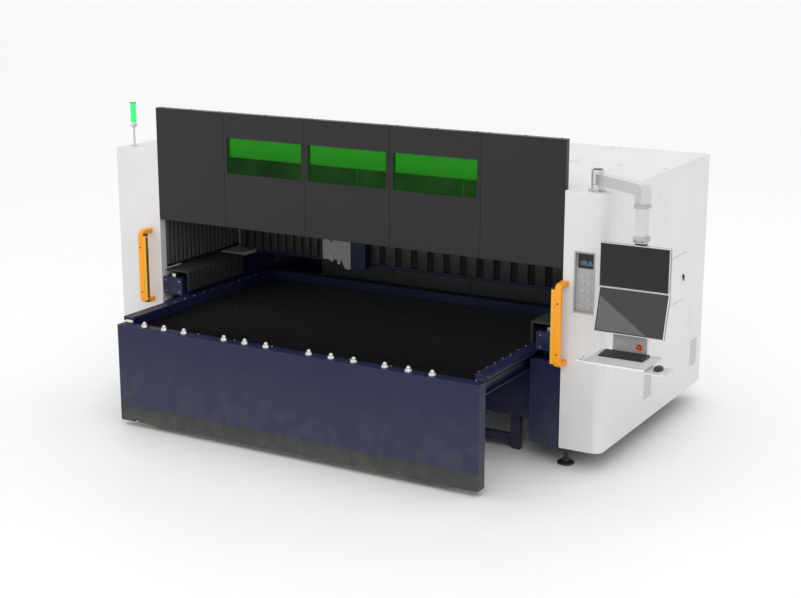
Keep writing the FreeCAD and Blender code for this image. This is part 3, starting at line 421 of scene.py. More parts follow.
def bevel_all(item, width, segments=2, angle=35):
    select_only(item)
    rounding = item.modifiers.new("edge", "BEVEL")
    rounding.width = width
    rounding.segments = segments
    rounding.limit_method = "ANGLE"
    rounding.angle_limit = math.radians(angle)
    bpy.ops.object.modifier_apply(modifier="edge")


def settle(item, name, body, finish):
    """Names a shaped piece, applies its transform, paints it and ties it to a body."""
    apply_transform(item)
    item.name = name
    item.data.name = name
    item.data.materials.clear()
    item.data.materials.append(PAINTS[finish])
    edit()
    bpy.ops.mesh.select_all(action="SELECT")
    bpy.ops.mesh.remove_doubles(threshold=0.00001)
    bpy.ops.mesh.normals_make_consistent(inside=False)
    leave()
    bpy.ops.object.shade_smooth_by_angle(angle=math.radians(35))
    if body:
        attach(item, body)
    return item


def block(low, high, edge=0.0, segments=2):
    """A block between two corners, with rounded edges."""
    deselect()
    middle = [(a + b) / 2 for a, b in zip(low, high)]
    bpy.ops.mesh.primitive_cube_add(size=1, location=middle)
    item = bpy.context.object
    item.scale = [b - a for a, b in zip(low, high)]
    apply_transform(item)
    if edge:
        bevel_all(item, edge, segments)
    return item


TURNS = {"X": (0, math.pi / 2, 0), "Y": (-math.pi / 2, 0, 0), "Z": (0, 0, 0),
         "-X": (0, -math.pi / 2, 0), "-Y": (math.pi / 2, 0, 0)}


def rod(radius, length, place, axis="Z", edge=0.0, sides=24):
    """A round bar from a place along an axis."""
    deselect()
    bpy.ops.mesh.primitive_cylinder_add(radius=radius, depth=length, vertices=sides,
                                        location=(0, 0, 0))
    item = bpy.context.object
    edit()
    bpy.ops.mesh.select_all(action="SELECT")
    bpy.ops.transform.translate(value=(0, 0, length / 2))
    leave()
    item.rotation_euler = TURNS[axis]
    item.location = place
    apply_transform(item)
    if edge:
        bevel_all(item, edge, 2, 50)
    return item


def repeat(item, offsets):
    """Joins a moved copy for each offset; the original gives the shape and is then removed."""
    made = []
    for offset in offsets:
        select_only(item)
        bpy.ops.object.duplicate(linked=False)
        copy = bpy.context.object
        copy.location = offset
        made.append(copy)
    deselect()
    for copy in made:
        copy.select_set(True)
    bpy.context.view_layer.objects.active = made[0]
    bpy.ops.object.transform_apply(location=True, rotation=False, scale=False)
    if len(made) > 1:
        bpy.ops.object.join()
    whole = bpy.context.object
    bpy.data.objects.remove(item)
    return whole


def merge(*items):
    deselect()
    for item in items:
        item.select_set(True)
    bpy.context.view_layer.objects.active = items[0]
    bpy.ops.object.join()
    return bpy.context.object


def array(item, count, step):
    """Repeats an item in a row."""
    select_only(item)
    row = item.modifiers.new("row", "ARRAY")
    row.count = count
    row.use_relative_offset = False
    row.use_constant_offset = True
    row.constant_offset_displace = step
    bpy.ops.object.modifier_apply(modifier="row")
    return item


def socket_screw(radius, axis):
    """A low round head with a hexagon recess, facing along an axis, at the origin."""
    deselect()
    bpy.ops.mesh.primitive_cylinder_add(radius=radius, depth=radius, vertices=12, location=(0, 0, 0))
    item = bpy.context.object
    pick(item, lambda centre, normal: normal.z > 0.9)
    bpy.ops.mesh.inset(thickness=radius * 0.16)
    bpy.ops.mesh.inset(thickness=radius * 0.34)
    bpy.ops.transform.translate(value=(0, 0, -radius * 0.45))
    leave()
    item.rotation_euler = TURNS[axis]
    apply_transform(item)
    return item


def screws(name, body, places, axis="-Y", radius=0.006, finish="steel"):
    row = repeat(socket_screw(radius, axis), places)
    return settle(row, name, body, finish)


def frame_ring(low, high, width, depth_axis="Y", edge=0.001):
    """A rectangular ring in the plane across an axis, made by insetting a block and bridging it."""
    item = block(low, high)
    index = "XYZ".index(depth_axis)
    pick(item, lambda centre, normal: abs(normal[index]) > 0.9)
    bpy.ops.mesh.inset(thickness=width)
    bpy.ops.mesh.bridge_edge_loops()
    leave()
    if edge:
        bevel_all(item, edge, 2)
    return item


print("helpers ready")

# %% [markdown]
# ## Toothed slats
#
# A slat is a strip with a saw-toothed top. A grid of thin cells stands upright, every second top
# point drops, the strip gets its thickness, and an array repeats it over the table.

# %% Slats
low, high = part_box("table_slats")
TOOTH_COUNT, TOOTH_DEPTH, SLAT_COUNT = 60, 0.016, 30
slat_pitch = (high.y - low.y - 0.003) / (SLAT_COUNT - 1)
deselect()
bpy.ops.mesh.primitive_grid_add(x_subdivisions=TOOTH_COUNT * 2, y_subdivisions=1, size=1)
slat = bpy.context.object
slat.scale = (high.x - low.x, high.z - low.z, 1)
slat.rotation_euler = (math.pi / 2, 0, 0)
slat.location = ((low.x + high.x) / 2, low.y, (low.z + high.z) / 2)
apply_transform(slat)
step = (high.x - low.x) / (TOOTH_COUNT * 2)
edit("VERT")
bpy.ops.mesh.select_all(action="DESELECT")
leave()
for point in slat.data.vertices:
    point.select = point.co.z > high.z - 0.001 and round((point.co.x - low.x) / step) % 2 == 0
edit("VERT")
bpy.ops.transform.translate(value=(0, 0, -TOOTH_DEPTH))
leave()
thick = slat.modifiers.new("thick", "SOLIDIFY")
thick.thickness = 0.003
thick.offset = -1
bpy.ops.object.modifier_apply(modifier="thick")
array(slat, SLAT_COUNT, (0, slat_pitch, 0))
settle(slat, "slats_toothed", "table", "scorched")
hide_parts("table_slats")
slats_low = min(point.co.y for point in slat.data.vertices)
print("slats from y", round(slats_low, 4), "to", round(max(p.co.y for p in slat.data.vertices), 4))

# %% [markdown]
# Each end of a slat sits in a comb: a flat bar with a peg beside every slat. A bright strip runs
# along the outer lip of each side beam, and bolts hold the beams to the front panel.

# %% Table combs, strips and bolts
beam_low, beam_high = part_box("table_side_beams")
flange = 0.100
comb_y = [low.y + 0.0015 + slat_pitch * number for number in range(SLAT_COUNT)]
for side, edge_x in (("left", beam_low.x + flange - 0.012), ("right", beam_high.x - flange + 0.012)):
    peg = rod(0.0045, 0.010, (0, 0, 0), "Z", 0.001, 10)
    row = repeat(peg, [(edge_x, y, beam_high.z - 0.0005) for y in comb_y[::2]])
    settle(row, "comb_pegs_" + side, "table", "steel")
    outer = beam_low.x if side == "left" else beam_high.x - 0.0035
    strip = block((outer, beam_low.y + 0.004, beam_high.z - 0.012),
                  (outer + 0.0035, beam_high.y - 0.004, beam_high.z - 0.005), 0.001)
    settle(strip, "lip_strip_" + side, "table", "steel")
    inner = beam_low.x + flange if side == "left" else beam_high.x - flange - 0.005
    comb = block((inner, low.y - 0.02, low.z - 0.001), (inner + 0.005, high.y + 0.02, low.z + 0.055),
                 0.001)
    settle(comb, "comb_bar_" + side, "table", "scorched")

panel_low, panel_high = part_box("table_front_panel")
rim = block((panel_low.x + 0.02, panel_low.y + 0.022, panel_high.z - 0.0005),
            (panel_high.x - 0.02, panel_high.y - 0.012, panel_high.z + 0.0035), 0.0015)
settle(rim, "panel_top_strip", "table", "navy_paint")
bolt_x = [panel_low.x + 0.06 + (panel_high.x - panel_low.x - 0.12) / 9 * n for n in range(10)]
screws("panel_rim_screws", "table",
       [(x, panel_high.y - 0.026, panel_high.z + 0.0055) for x in bolt_x], "Z", 0.006)
beam_bolts = []
for x in (beam_low.x + 0.03, beam_low.x + 0.07, beam_high.x - 0.03, beam_high.x - 0.07):
    for y in (beam_low.y + 0.05, -0.9, -0.4, 0.1, beam_high.y - 0.05):
        beam_bolts.append((x, y, beam_high.z + 0.001))
screws("beam_top_screws", "table", beam_bolts, "Z", 0.007, "dark_steel")
track = []
for x, away in ((beam_low.x + flange - 0.012, -1), (beam_high.x - flange + 0.012, 1)):
    start = x if away > 0 else x - 0.008
    track.append(block((start, beam_low.y + 0.01, 0.735), (start + 0.008, beam_high.y - 0.01, 0.765), 0.002))
settle(merge(*track), "beam_guide_strips", "table", "dark_steel")
stops = [rod(0.011, 0.012, (x, beam_low.y + 0.36, 0.778), "X", 0.002, 20)
         for x in (beam_low.x + 0.076, beam_high.x - 0.088)]
settle(merge(*stops), "beam_bumpers", "table", "black_rubber")
print("table dressed")

# %% [markdown]
# ## Bellows
#
# A cover that folds is a row of dark plates with a black gap between them. Each row is one mesh,
# and none is tied to a body here.

# %% Folding covers


def cut_along(item, count, axis):
    """Cuts a long block across into equal lengths so that it can stretch evenly."""
    select_only(item)
    low = min(point.co[axis] for point in item.data.vertices)
    high = max(point.co[axis] for point in item.data.vertices)
    normal = [0, 0, 0]
    normal[axis] = 1
    for number in range(1, count):
        place = [0, 0, 0]
        place[axis] = low + (high - low) * number / count
        edit()
        bpy.ops.mesh.select_all(action="SELECT")
        bpy.ops.mesh.bisect(plane_co=place, plane_no=normal)
        leave()


def rail_cover(name, node, count):
    low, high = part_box(node)
    made = []
    centre = (low.x + high.x) / 2
    for side in (-1, 1):
        inner = centre + side * 1.550
        outer = centre + side * 1.780
        near, far = sorted((inner, outer))
        step = (high.y - low.y) / count
        wall = sorted((inner, inner + side * 0.005))
        plate = block((wall[0], low.y, low.z), (wall[1], low.y + step * 0.86, high.z - 0.004), 0.0015)
        array(plate, count, (0, step, 0))
        cap = block((near + 0.001, low.y, high.z - 0.007), (far, low.y + step * 0.86, high.z), 0.0015)
        array(cap, count, (0, step, 0))
        made += [plate, cap]
    cover = settle(merge(*made), name, None, "bellows")
    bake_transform(cover)
    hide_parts(node)
    made = []
    for side in (-1, 1):
        inner = centre + side * 1.557
        outer = centre + side * 1.776
        walls = sorted((inner, inner + side * 0.003))
        near, far = sorted((inner, outer))
        made.append(block((walls[0], low.y + 0.002, low.z + 0.008),
                          (walls[1], high.y - 0.002, high.z - 0.010)))
        made.append(block((near, low.y + 0.002, high.z - 0.013), (far, high.y - 0.002, high.z - 0.010)))
    for item in made:
        cut_along(item, count, 1)
    lining = settle(merge(*made), name + "_lining", None, "black_rubber")
    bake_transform(lining)
    return cover


rail_cover("rail_folds_front", "rail_bellows_front", 14)
rail_cover("rail_folds_rear", "rail_bellows_rear", 14)


def cross_cover(name, node, count, share):
    low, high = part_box(node)
    step = (high.x - low.x) / count
    plate = block((low.x, low.y, low.z), (low.x + step * share, low.y + 0.007, high.z), 0.0015)
    array(plate, count, (step, 0, 0))
    settle(plate, name, None, "bellows")
    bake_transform(plate)
    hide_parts(node)
    skin = block((low.x + 0.001, low.y + 0.011, low.z + 0.006), (high.x - 0.001, high.y, high.z - 0.006))
    cut_along(skin, count, 0)
    settle(skin, name + "_lining", None, "void_black")
    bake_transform(skin)


cross_cover("cross_folds_left", "cross_bellows_left", 11, 0.70)
cross_cover("cross_folds_right", "cross_bellows_right", 14, 0.60)
print("folding covers made")

# %% [markdown]
# ## Bulkhead and windows
#
# A rubber gasket frames every pane, a thin sill closes the bottom, and rows of small screws hold the
# folded panels.

# %% Bulkhead trim
pane_low, pane_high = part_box("window_panes")
panel_edges = [-2.0715, -1.405, -0.645, 0.109, 0.868, 1.5275]
front_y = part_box("bulkhead_window_panels")[0].y
for number, (left, right) in enumerate(zip(panel_edges[1:4], panel_edges[2:5]), start=1):
    x0, x1 = left + 0.025, right - 0.025
    z0, z1 = pane_low.z + 0.012, pane_high.z - 0.012
    gasket = frame_ring((x0 - 0.004, front_y - 0.0018, z0 - 0.004),
                        (x1 + 0.004, front_y + 0.0035, z1 + 0.004), 0.009, "Y", 0.0012)
    settle(gasket, "window_gasket_%d" % number, "machine", "black_rubber")
bulk_low, bulk_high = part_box("bulkhead_plain_panels")
places = []
for left, right in zip(panel_edges, panel_edges[1:]):
    for x in (left + 0.05, (left + right) / 2, right - 0.05):
        places.append((x, bulk_high.y - 0.022, bulk_high.z + 0.0005))
screws("bulkhead_top_screws", "machine", places, "Z", 0.006, "dark_steel")
rail = block((bulk_low.x + 0.01, bulk_low.y + 0.006, bulk_low.z - 0.0005),
             (bulk_high.x - 0.01, bulk_low.y + 0.030, bulk_low.z + 0.002), 0.001)
settle(rail, "bulkhead_bottom_seal", "machine", "black_rubber")
print("bulkhead trimmed")

# %% [markdown]
# ## Light tower and guards
#
# The beacon has a dark cap and base ring; the U-shaped bracket below is not made here. The orange
# guards carry screws, and the light curtains a thin dark window; their row of lenses behind it is not made
# here.

# %% Beacon, guards and curtains
lamp_low, lamp_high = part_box("light_tower_lamp")
lamp_x, lamp_y = (lamp_low.x + lamp_high.x) / 2, (lamp_low.y + lamp_high.y) / 2
settle(rod(0.0265, 0.010, (lamp_x, lamp_y, lamp_high.z - 0.0102), "Z", 0.002, 32), "beacon_cap", "machine",
       "black_plastic")
settle(rod(0.0285, 0.008, (lamp_x, lamp_y, lamp_low.z - 0.002), "Z", 0.002, 32), "beacon_collar",
       "machine", "chrome")
settle(rod(0.0115, 0.020, (lamp_x, lamp_y, 2.046), "Z", 0.002, 24), "beacon_nut", "machine", "chrome")
screws("beacon_screws", "machine", [(lamp_x + 0.024 * math.cos(a), lamp_y + 0.024 * math.sin(a), 2.0465)
                                    for a in (0.8, 2.4, 3.9, 5.5)], "Z", 0.0035)
guard_low, guard_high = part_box("guard_bars")
guard_places = []
for x in (guard_low.x + 0.025, guard_high.x - 0.025):
    guard_places += [(x, guard_low.y - 0.0012, z) for z in (guard_low.z + 0.10, guard_high.z - 0.14)]
screws("guard_screws", "machine", guard_places, "-Y", 0.0055, "dark_steel")
plates = []
for x0 in (guard_low.x - 0.006, guard_high.x - 0.056):
    for z0 in (guard_low.z - 0.002, guard_high.z - 0.038):
        plates.append(block((x0, guard_high.y - 0.004, z0), (x0 + 0.062, guard_high.y, z0 + 0.040), 0.0015))
settle(merge(*plates), "guard_foot_plates", "machine", "orange_paint")
curtain_low, curtain_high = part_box("light_curtains")
for side, x0, x1 in (("left", curtain_low.x, curtain_low.x + 0.026),
                     ("right", curtain_high.x - 0.026, curtain_high.x)):
    face = x1 - 0.0005 if side == "left" else x0 - 0.001
    window = block((face, curtain_low.y + 0.012, curtain_low.z + 0.03),
                   (face + 0.0015, curtain_low.y + 0.026, curtain_high.z - 0.03), 0.0004)
    settle(window, "curtain_window_" + side, "machine", "black_gloss")
    caps = [block((x0 - 0.001, curtain_low.y - 0.001, z),
                  (x1 + 0.001, curtain_high.y + 0.001, z + 0.012), 0.002)
            for z in (curtain_low.z - 0.002, curtain_high.z - 0.010)]
    settle(merge(*caps), "curtain_caps_" + side, "machine", "black_plastic")
print("beacon and guards done")

# %% [markdown]
# ## Control panel
#
# Ten round push keys carry simple raised signs: an arrow, a bar, a dot, a ring. The little display
# shows a plain trace. There is no lettering.

# %% Control panel
house_low, house_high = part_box("control_housing")
rim = frame_ring((house_low.x - 0.003, house_low.y - 0.0012, house_low.z - 0.003),
                 (house_high.x + 0.003, house_low.y + 0.003, house_high.z + 0.003), 0.009, "Y", 0.001)
settle(rim, "control_rim", "machine", "grey_paint")


def sign(kind, x, y, z):
    """A small raised sign on the face of a key."""
    if kind == "dot":
        return rod(0.0045, 0.0012, (x, y + 0.0006, z), "-Y", 0, 16)
    if kind == "bar":
        return block((x - 0.008, y - 0.0006, z - 0.0015), (x + 0.008, y + 0.0006, z + 0.0015))
    if kind == "ring":
        deselect()
        bpy.ops.mesh.primitive_torus_add(major_radius=0.006, minor_radius=0.001, major_segments=20,
                                         minor_segments=6, location=(x, y, z),
                                         rotation=(math.pi / 2, 0, 0))
        return bpy.context.object
    deselect()
    bpy.ops.mesh.primitive_cylinder_add(radius=0.007, depth=0.0012, vertices=3, location=(x, y, z),
                                        rotation=(math.pi / 2, {"up": 0, "down": math.pi,
                                                                "left": math.pi / 2,
                                                                "right": -math.pi / 2}[kind], 0))
    return bpy.context.object


KEY_SIGNS = ("ring", "bar", "left", "right", "down", "up", "dot", "bar", "ring", "dot")
for number, kind in enumerate(KEY_SIGNS, start=1):
    node = "key_%d" % number
    low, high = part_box(node)
    x, z = (low.x + high.x) / 2, (low.z + high.z) / 2
    deselect()
    bpy.ops.mesh.primitive_torus_add(major_radius=0.0125, minor_radius=0.0012, major_segments=28,
                                     minor_segments=6, location=(x, low.y + 0.0003, z),
                                     rotation=(math.pi / 2, 0, 0))
    edge_ring = bpy.context.object
    settle(edge_ring, "key_ring_%d" % number, node, "grey_plastic")
    settle(sign(kind, x, low.y, z), "key_sign_%d" % number, node, "black_plastic")
show_low, show_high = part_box("control_display")
bezel = frame_ring((show_low.x - 0.003, show_low.y - 0.002, show_low.z - 0.003),
                   (show_high.x + 0.003, show_low.y + 0.002, show_high.z + 0.003), 0.007, "Y", 0.0008)
settle(bezel, "display_bezel", "machine", "black_plastic")
bars = []
random.seed(5)
for number in range(12):
    x = show_low.x + 0.016 + 0.008 * number
    height = 0.008 + 0.030 * random.random()
    bars.append(block((x, show_low.y - 0.0006, show_low.z + 0.018),
                      (x + 0.004, show_low.y + 0.0004, show_low.z + 0.018 + height)))
PAINTS["display_glow"] = glowing("display_glow", rgb(0.10, 0.30, 0.42), 0.10)
settle(merge(*bars), "display_bars", "machine", "display_glow")
print("control panel done")

# %% [markdown]
# ## Operator console
#
# The screens get a thin bright frame, a glossy glass and a vented back; the lower screen's glass
# carries a painted reflection. The keyboard is rows of small bevelled caps. The tray has a chrome edge and a
# bent grab bar.

# %% Screens
PAINTS["screen_glass"] = glossy("screen_glass", rgb(0.006, 0.006, 0.008), 0.06)
# The lower screen's glass is dark with a painted reflection: it is lighter on one side of a slanted line.
screen_f = Finish("screen_painted_reflection")
slant = screen_f.axis("X") * 0.62 + screen_f.axis("Z")
sheen = slant.ramp(2.555, 2.575, 1.0, 0.0)
screen_f.set(Base_Color=screen_f.mix(sheen, rgb(0.012, 0.012, 0.014), rgb(0.085, 0.082, 0.088)),
             Roughness=0.12 + 0.05 * screen_f.noise(9), Coat_Weight=0.5, Coat_Roughness=0.04)
PAINTS["screen_painted_reflection"] = screen_f.material


def tilted(item, node, angle, pivot):
    """Turns a piece about the tilt pin of a screen."""
    select_only(item)
    edit()
    bpy.ops.mesh.select_all(action="SELECT")
    bpy.ops.transform.rotate(value=angle, orient_axis="X", center_override=pivot)
    leave()
    return item


def screen(node, prefix, pivot_y, pivot_z, rise, angle, glass):
    """Frame, glass and vented back of one monitor, built upright around its pin and then tilted."""
    centre_x = 2.158 - 0.014
    x0, x1 = centre_x - 0.25, centre_x + 0.25
    front, back = pivot_y - 0.051, pivot_y - 0.021
    z0, z1 = pivot_z + rise - 0.153, pivot_z + rise + 0.153
    pivot = (2.158, pivot_y, pivot_z)
    border = frame_ring((x0 - 0.0015, front - 0.0012, z0 - 0.0015), (x1 + 0.0015, front + 0.012, z1 + 0.0015),
                        0.006, "Y", 0.0015)
    dark = frame_ring((x0 + 0.004, front - 0.0008, z0 + 0.004), (x1 - 0.004, front + 0.002, z1 - 0.004),
                      0.008, "Y", 0.0004)
    face = block((x0 + 0.010, front - 0.0004, z0 + 0.010), (x1 - 0.010, front + 0.001, z1 - 0.010))
    shell = block((x0 + 0.03, back - 0.001, z0 + 0.03), (x1 - 0.03, back + 0.004, z1 - 0.03), 0.003)
    vents = array(block((x0 + 0.10, back + 0.0035, z1 - 0.06), (x0 + 0.103, back + 0.0048, z1 - 0.04)),
                  30, (0.010, 0, 0))
    parts = ((border, "frame", "aluminium"), (dark, "inner_frame", "black_plastic"),
             (face, "glass", glass), (shell, "back", "black_plastic"), (vents, "vents", "void_black"))
    for item, kind, finish in parts:
        if angle:
            tilted(item, node, angle, pivot)
        settle(item, prefix + "_" + kind, node, finish)


LOWER_TILT = math.radians(16)
screen("upper_monitor", "upper_screen", -0.80532, 1.602, 0.0, 0.0, "screen_glass")
screen("lower_monitor", "lower_screen", -0.83932, 1.268, 0.014, LOWER_TILT, "screen_painted_reflection")
print("screens done")

# %% [markdown]
# The keyboard is one base with an array of caps on it, tilted with the base. Rows differ: the
# lowest row has a long space bar.

# %% Keyboard, mouse and tray
key_low, key_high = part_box("keyboard")
slope = math.atan((0.020 - 0.011) / (key_high.y - key_low.y))
rows = []
KEY = 0.0165
for row in range(6):
    y = key_low.y + 0.010 + row * 0.0195
    z = key_low.z + 0.011 + (y - key_low.y) * math.tan(slope)
    cap = block((key_low.x + 0.010, y, z - 0.001), (key_low.x + 0.010 + KEY, y + KEY, z + 0.0045), 0.0015, 1)
    if row == 0:
        array(cap, 4, (0.0187, 0, 0))
        space = block((key_low.x + 0.088, y, z - 0.001), (key_low.x + 0.175, y + KEY, z + 0.0045), 0.0015, 1)
        more = block((key_low.x + 0.179, y, z - 0.001), (key_low.x + 0.179 + KEY, y + KEY, z + 0.0045),
                     0.0015, 1)
        array(more, 7, (0.0187, 0, 0))
        rows += [cap, space, more]
    else:
        array(cap, 16, (0.0187, 0, 0))
        rows.append(cap)
settle(merge(*rows), "keyboard_caps", "console", "black_plastic")

TRAY_LEFT = 2.158 - 0.242
TRAY_RIGHT = TRAY_LEFT + 0.44
TRAY_BACK = -0.8213
TRAY_FRONT = TRAY_BACK - 0.335
front_bar = block((TRAY_LEFT + 0.004, TRAY_FRONT - 0.0025, 0.981),
                  (TRAY_RIGHT - 0.002, TRAY_FRONT + 0.004, 1.0008), 0.002)
settle(front_bar, "tray_front_edge", "console", "chrome")
mat = block((TRAY_LEFT + 0.02, TRAY_FRONT + 0.03, 0.9998),
            (TRAY_RIGHT - 0.02, TRAY_BACK - 0.02, 1.0010), 0.0008)
settle(mat, "tray_mat", "console", "grey_plastic")
shelf_edge = block((TRAY_RIGHT - 0.004, TRAY_FRONT - 0.002, 0.9735),
                   (TRAY_RIGHT + 0.138, TRAY_FRONT + 0.004, 0.9835), 0.0015)
settle(shelf_edge, "shelf_front_edge", "console", "chrome")


def bent_bar(radius, start, legs):
    """A round bar: a ring of points extruded along straight legs and spun round the bends."""
    deselect()
    bpy.ops.mesh.primitive_circle_add(vertices=16, radius=radius, fill_type="NGON", location=start,
                                      rotation=(0, math.pi / 2, 0))
    item = bpy.context.object
    apply_transform(item)
    edit("VERT")
    bpy.ops.mesh.select_all(action="SELECT")
    for kind, value in legs:
        if kind == "go":
            bpy.ops.mesh.extrude_region_move(TRANSFORM_OT_translate={"value": value})
        else:
            centre, angle = value
            bpy.ops.mesh.spin(steps=8, angle=angle, center=centre, axis=(0, 0, 1))
    leave()
    return item


bar_z, bend = 0.991, 0.028
loop_y0 = TRAY_FRONT + 0.014
loop_y1 = loop_y0 + 0.118
left_x = TRAY_LEFT - 0.084
grab = bent_bar(0.0085, (TRAY_LEFT + 0.004, loop_y0, bar_z), [
    ("go", (left_x + bend - TRAY_LEFT - 0.004, 0, 0)),
    ("bend", ((left_x + bend, loop_y0 + bend, bar_z), -math.pi / 2)),
    ("go", (0, loop_y1 - loop_y0 - 2 * bend, 0)),
    ("bend", ((left_x + bend, loop_y1 - bend, bar_z), -math.pi / 2)),
    ("go", (TRAY_LEFT + 0.004 - left_x - bend, 0, 0))])
settle(grab, "tray_grab_bar", "console", "chrome")
board = block((TRAY_LEFT, TRAY_FRONT, 0.982), (TRAY_RIGHT, TRAY_BACK, 1.0), 0.004, 3)
low_shelf = block((TRAY_RIGHT - 0.03, TRAY_FRONT, 0.974),
                  (TRAY_RIGHT + 0.14, TRAY_FRONT + 0.175, 0.982), 0.002, 2)
tray = settle(merge(board, low_shelf), "tray_board", "console", "grey_plastic")
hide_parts("keyboard_tray")

mouse_low, mouse_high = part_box("mouse")
mouse_x = (mouse_low.x + mouse_high.x) / 2
mouse_top = mouse_high.z
settle(rod(0.006, 0.005, (mouse_x - 0.0025, mouse_low.y + 0.030, mouse_top - 0.0075), "X", 0.001, 20),
       "mouse_wheel", "console", "grey_plastic")
print("keyboard and tray done")

# %% [markdown]
# The arm is made of brushed aluminium profiles with collars, end caps and clamp screws. The
# emergency stop has a bright ring on a grey plate.

# %% Arm and plate
TUBE_X, TUBE_Y = 2.15799, -0.78132
collars = []
for z0, z1, grow in ((1.998, 2.026, 0.046), (1.770, 1.806, 0.046)):
    collars.append(block((TUBE_X - grow, TUBE_Y - grow, z0), (TUBE_X + grow, TUBE_Y + grow, z1), 0.004, 3))
settle(merge(*collars), "column_collars", "console", "grey_paint")
clamp_places = [(TUBE_X + dx, TUBE_Y - 0.0465, 1.778) for dx in (-0.025, 0.025)]
screws("collar_screws", "console", clamp_places, "-Y", 0.004, "dark_steel")
plate_front = TUBE_Y - 0.053
face = block((TUBE_X - 0.157, plate_front - 0.0016, 1.0005),
             (TUBE_X + 0.092, plate_front + 0.001, 1.1295), 0.0008)
settle(face, "console_face_plate", "console", "grey_paint")
screws("face_plate_screws", "console", [(TUBE_X + dx, plate_front - 0.0022, z) for dx in (-0.148, 0.083)
                                        for z in (1.012, 1.118)], "-Y", 0.0035, "steel")
estop_low, estop_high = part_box("emergency_stop")
estop_x, estop_z = (estop_low.x + estop_high.x) / 2, (estop_low.z + estop_high.z) / 2
deselect()
bpy.ops.mesh.primitive_torus_add(major_radius=0.0235, minor_radius=0.0032,
                                 major_segments=40, minor_segments=10,
                                 location=(estop_x, plate_front - 0.0025, estop_z),
                                 rotation=(math.pi / 2, 0, 0))
settle(bpy.context.object, "stop_ring", "console", "yellow_plastic")
arrows = []
for angle in (0.5, 2.6, 4.7):
    deselect()
    place = (estop_x + 0.010 * math.cos(angle), estop_low.y - 0.0002, estop_z + 0.010 * math.sin(angle))
    bpy.ops.mesh.primitive_cylinder_add(radius=0.0045, depth=0.0010, vertices=3, location=place,
                                        rotation=(math.pi / 2, angle, 0))
    arrows.append(bpy.context.object)
settle(merge(*arrows), "stop_arrows", "emergency_stop", "grey_plastic")
boom_cap = rod(0.036, 0.004, (1.722, -0.5245, 2.1868), "Z", 0.001, 32)
settle(boom_cap, "post_cap", "boom", "black_plastic")
screws("post_flange_screws", "machine", [(1.722 + 0.054 * math.cos(a), -0.5245 + 0.054 * math.sin(a), 2.0485)
                                         for a in (0.4, 1.97, 3.54, 5.11)], "Z", 0.004, "dark_steel")
print("console done")

# %% [markdown]
# ## Cutting head
#
# The cover in front of the head carries a few small screws. Behind its cut-away edge shows a bright
# stepped nozzle with a ceramic ring and two chrome rings; a copper finish for its short tip is made but put
# on no piece.

# %% Head details
cover_low, cover_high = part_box("head_cover")
cover_places = ((0.012, 1.292), (0.261, 1.292), (0.261, 1.045),
                (0.012, 1.110), (0.118, 1.128), (0.105, 1.112))
screws("cover_screws", "carriage", [(cover_low.x + dx, cover_low.y - 0.0012, z) for dx, z in cover_places],
       "-Y", 0.004, "dark_steel")
noz_low, noz_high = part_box("nozzle")
noz_x, noz_y = (noz_low.x + noz_high.x) / 2, (noz_low.y + noz_high.y) / 2
PAINTS["copper"] = metal("copper", rgb(0.80, 0.42, 0.26), 0.25, (3, 3, 30), 0.1)
PAINTS["ceramic"] = moulded("ceramic", rgb(0.80, 0.79, 0.74), 0.3)
settle(rod(0.0185, 0.012, (noz_x, noz_y, 1.052), "Z", 0.002, 32), "head_ceramic_ring", "head", "ceramic")
settle(rod(0.0225, 0.008, (noz_x, noz_y, 1.068), "Z", 0.002, 32), "head_chrome_ring", "head", "chrome")
settle(rod(0.0262, 0.010, (noz_x, noz_y, 1.090), "Z", 0.002, 32), "head_lock_ring", "head", "chrome")
drive_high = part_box("carriage")[1]
drive_face = cover_high.x + 0.002
seam = block((drive_face + 0.01, cover_low.y + 0.0024, 1.262),
             (drive_high.x - 0.01, cover_low.y + 0.004, 1.264))
settle(seam, "drive_box_seam", "carriage", "void_black")
drive_places = [(x, cover_low.y + 0.0014, z)
                for x in (drive_face + 0.015, drive_high.x - 0.015) for z in (1.045, 1.285)]
screws("drive_box_screws", "carriage", drive_places, "-Y", 0.004, "dark_steel")
print("head done")

# %% [markdown]
# ## Inside the enclosure
#
# Dark curtains of upright plates hang along both inner sides in front of black sheets, and a dark
# grey sheet lines the back. These black sheets and the grey sheet are painted shade, so that the chamber
# reads as a deep dark space behind the opening; the black sheets also give the black gaps between the curtain
# plates.

# %% Inner curtains and lining
PAINTS["curtain_grey"] = moulded("curtain_grey", rgb(0.10, 0.10, 0.102), 0.55, 0.00015, 500)
for side, wall_x, away in (("left", -2.0715, 1), ("right", 1.5275, -1)):
    near, far = sorted((wall_x + away * 0.001, wall_x + away * 0.003))
    # Black sheets over the inner side walls, down over the lower wall below the folds: painted shade of the
    # chamber. Behind the folds they also give the black gaps between the plates.
    backing = block((near, -0.565, 1.065), (far, 1.40, 2.030))
    lower = block((near, -0.370, 0.30), (far, 1.40, 1.066))
    settle(merge(backing, lower), "inner_backing_" + side, "machine", "void_black")
    near, far = sorted((wall_x + away * 0.004, wall_x + away * 0.009))
    strip = array(block((near, -0.560, 1.085), (far, -0.522, 1.470), 0.001), 35, (0, 0.055, 0))
    settle(strip, "inner_folds_" + side, "machine", "curtain_grey")
# A dark grey sheet just in front of the white back lining: painted shade inside the chamber.
lining = block((-1.822, 1.4150, 0.52), (1.278, 1.4180, 1.42), 0.0008)
settle(lining, "back_lining", "machine", "inner_shade_paint")
seams = [block((x, 1.4143, 0.53), (x + 0.003, 1.4152, 1.41)) for x in (-1.05, -0.27, 0.51)]
settle(merge(*seams), "back_lining_seams", "machine", "void_black")
lining_places = [(x, 1.4142, z) for x in (-1.75, -1.09, -1.01, -0.31, -0.23, 0.47, 0.55, 1.22)
                 for z in (0.60, 1.36)]
screws("back_lining_screws", "machine", lining_places, "-Y", 0.006, "steel")
print("chamber lined")
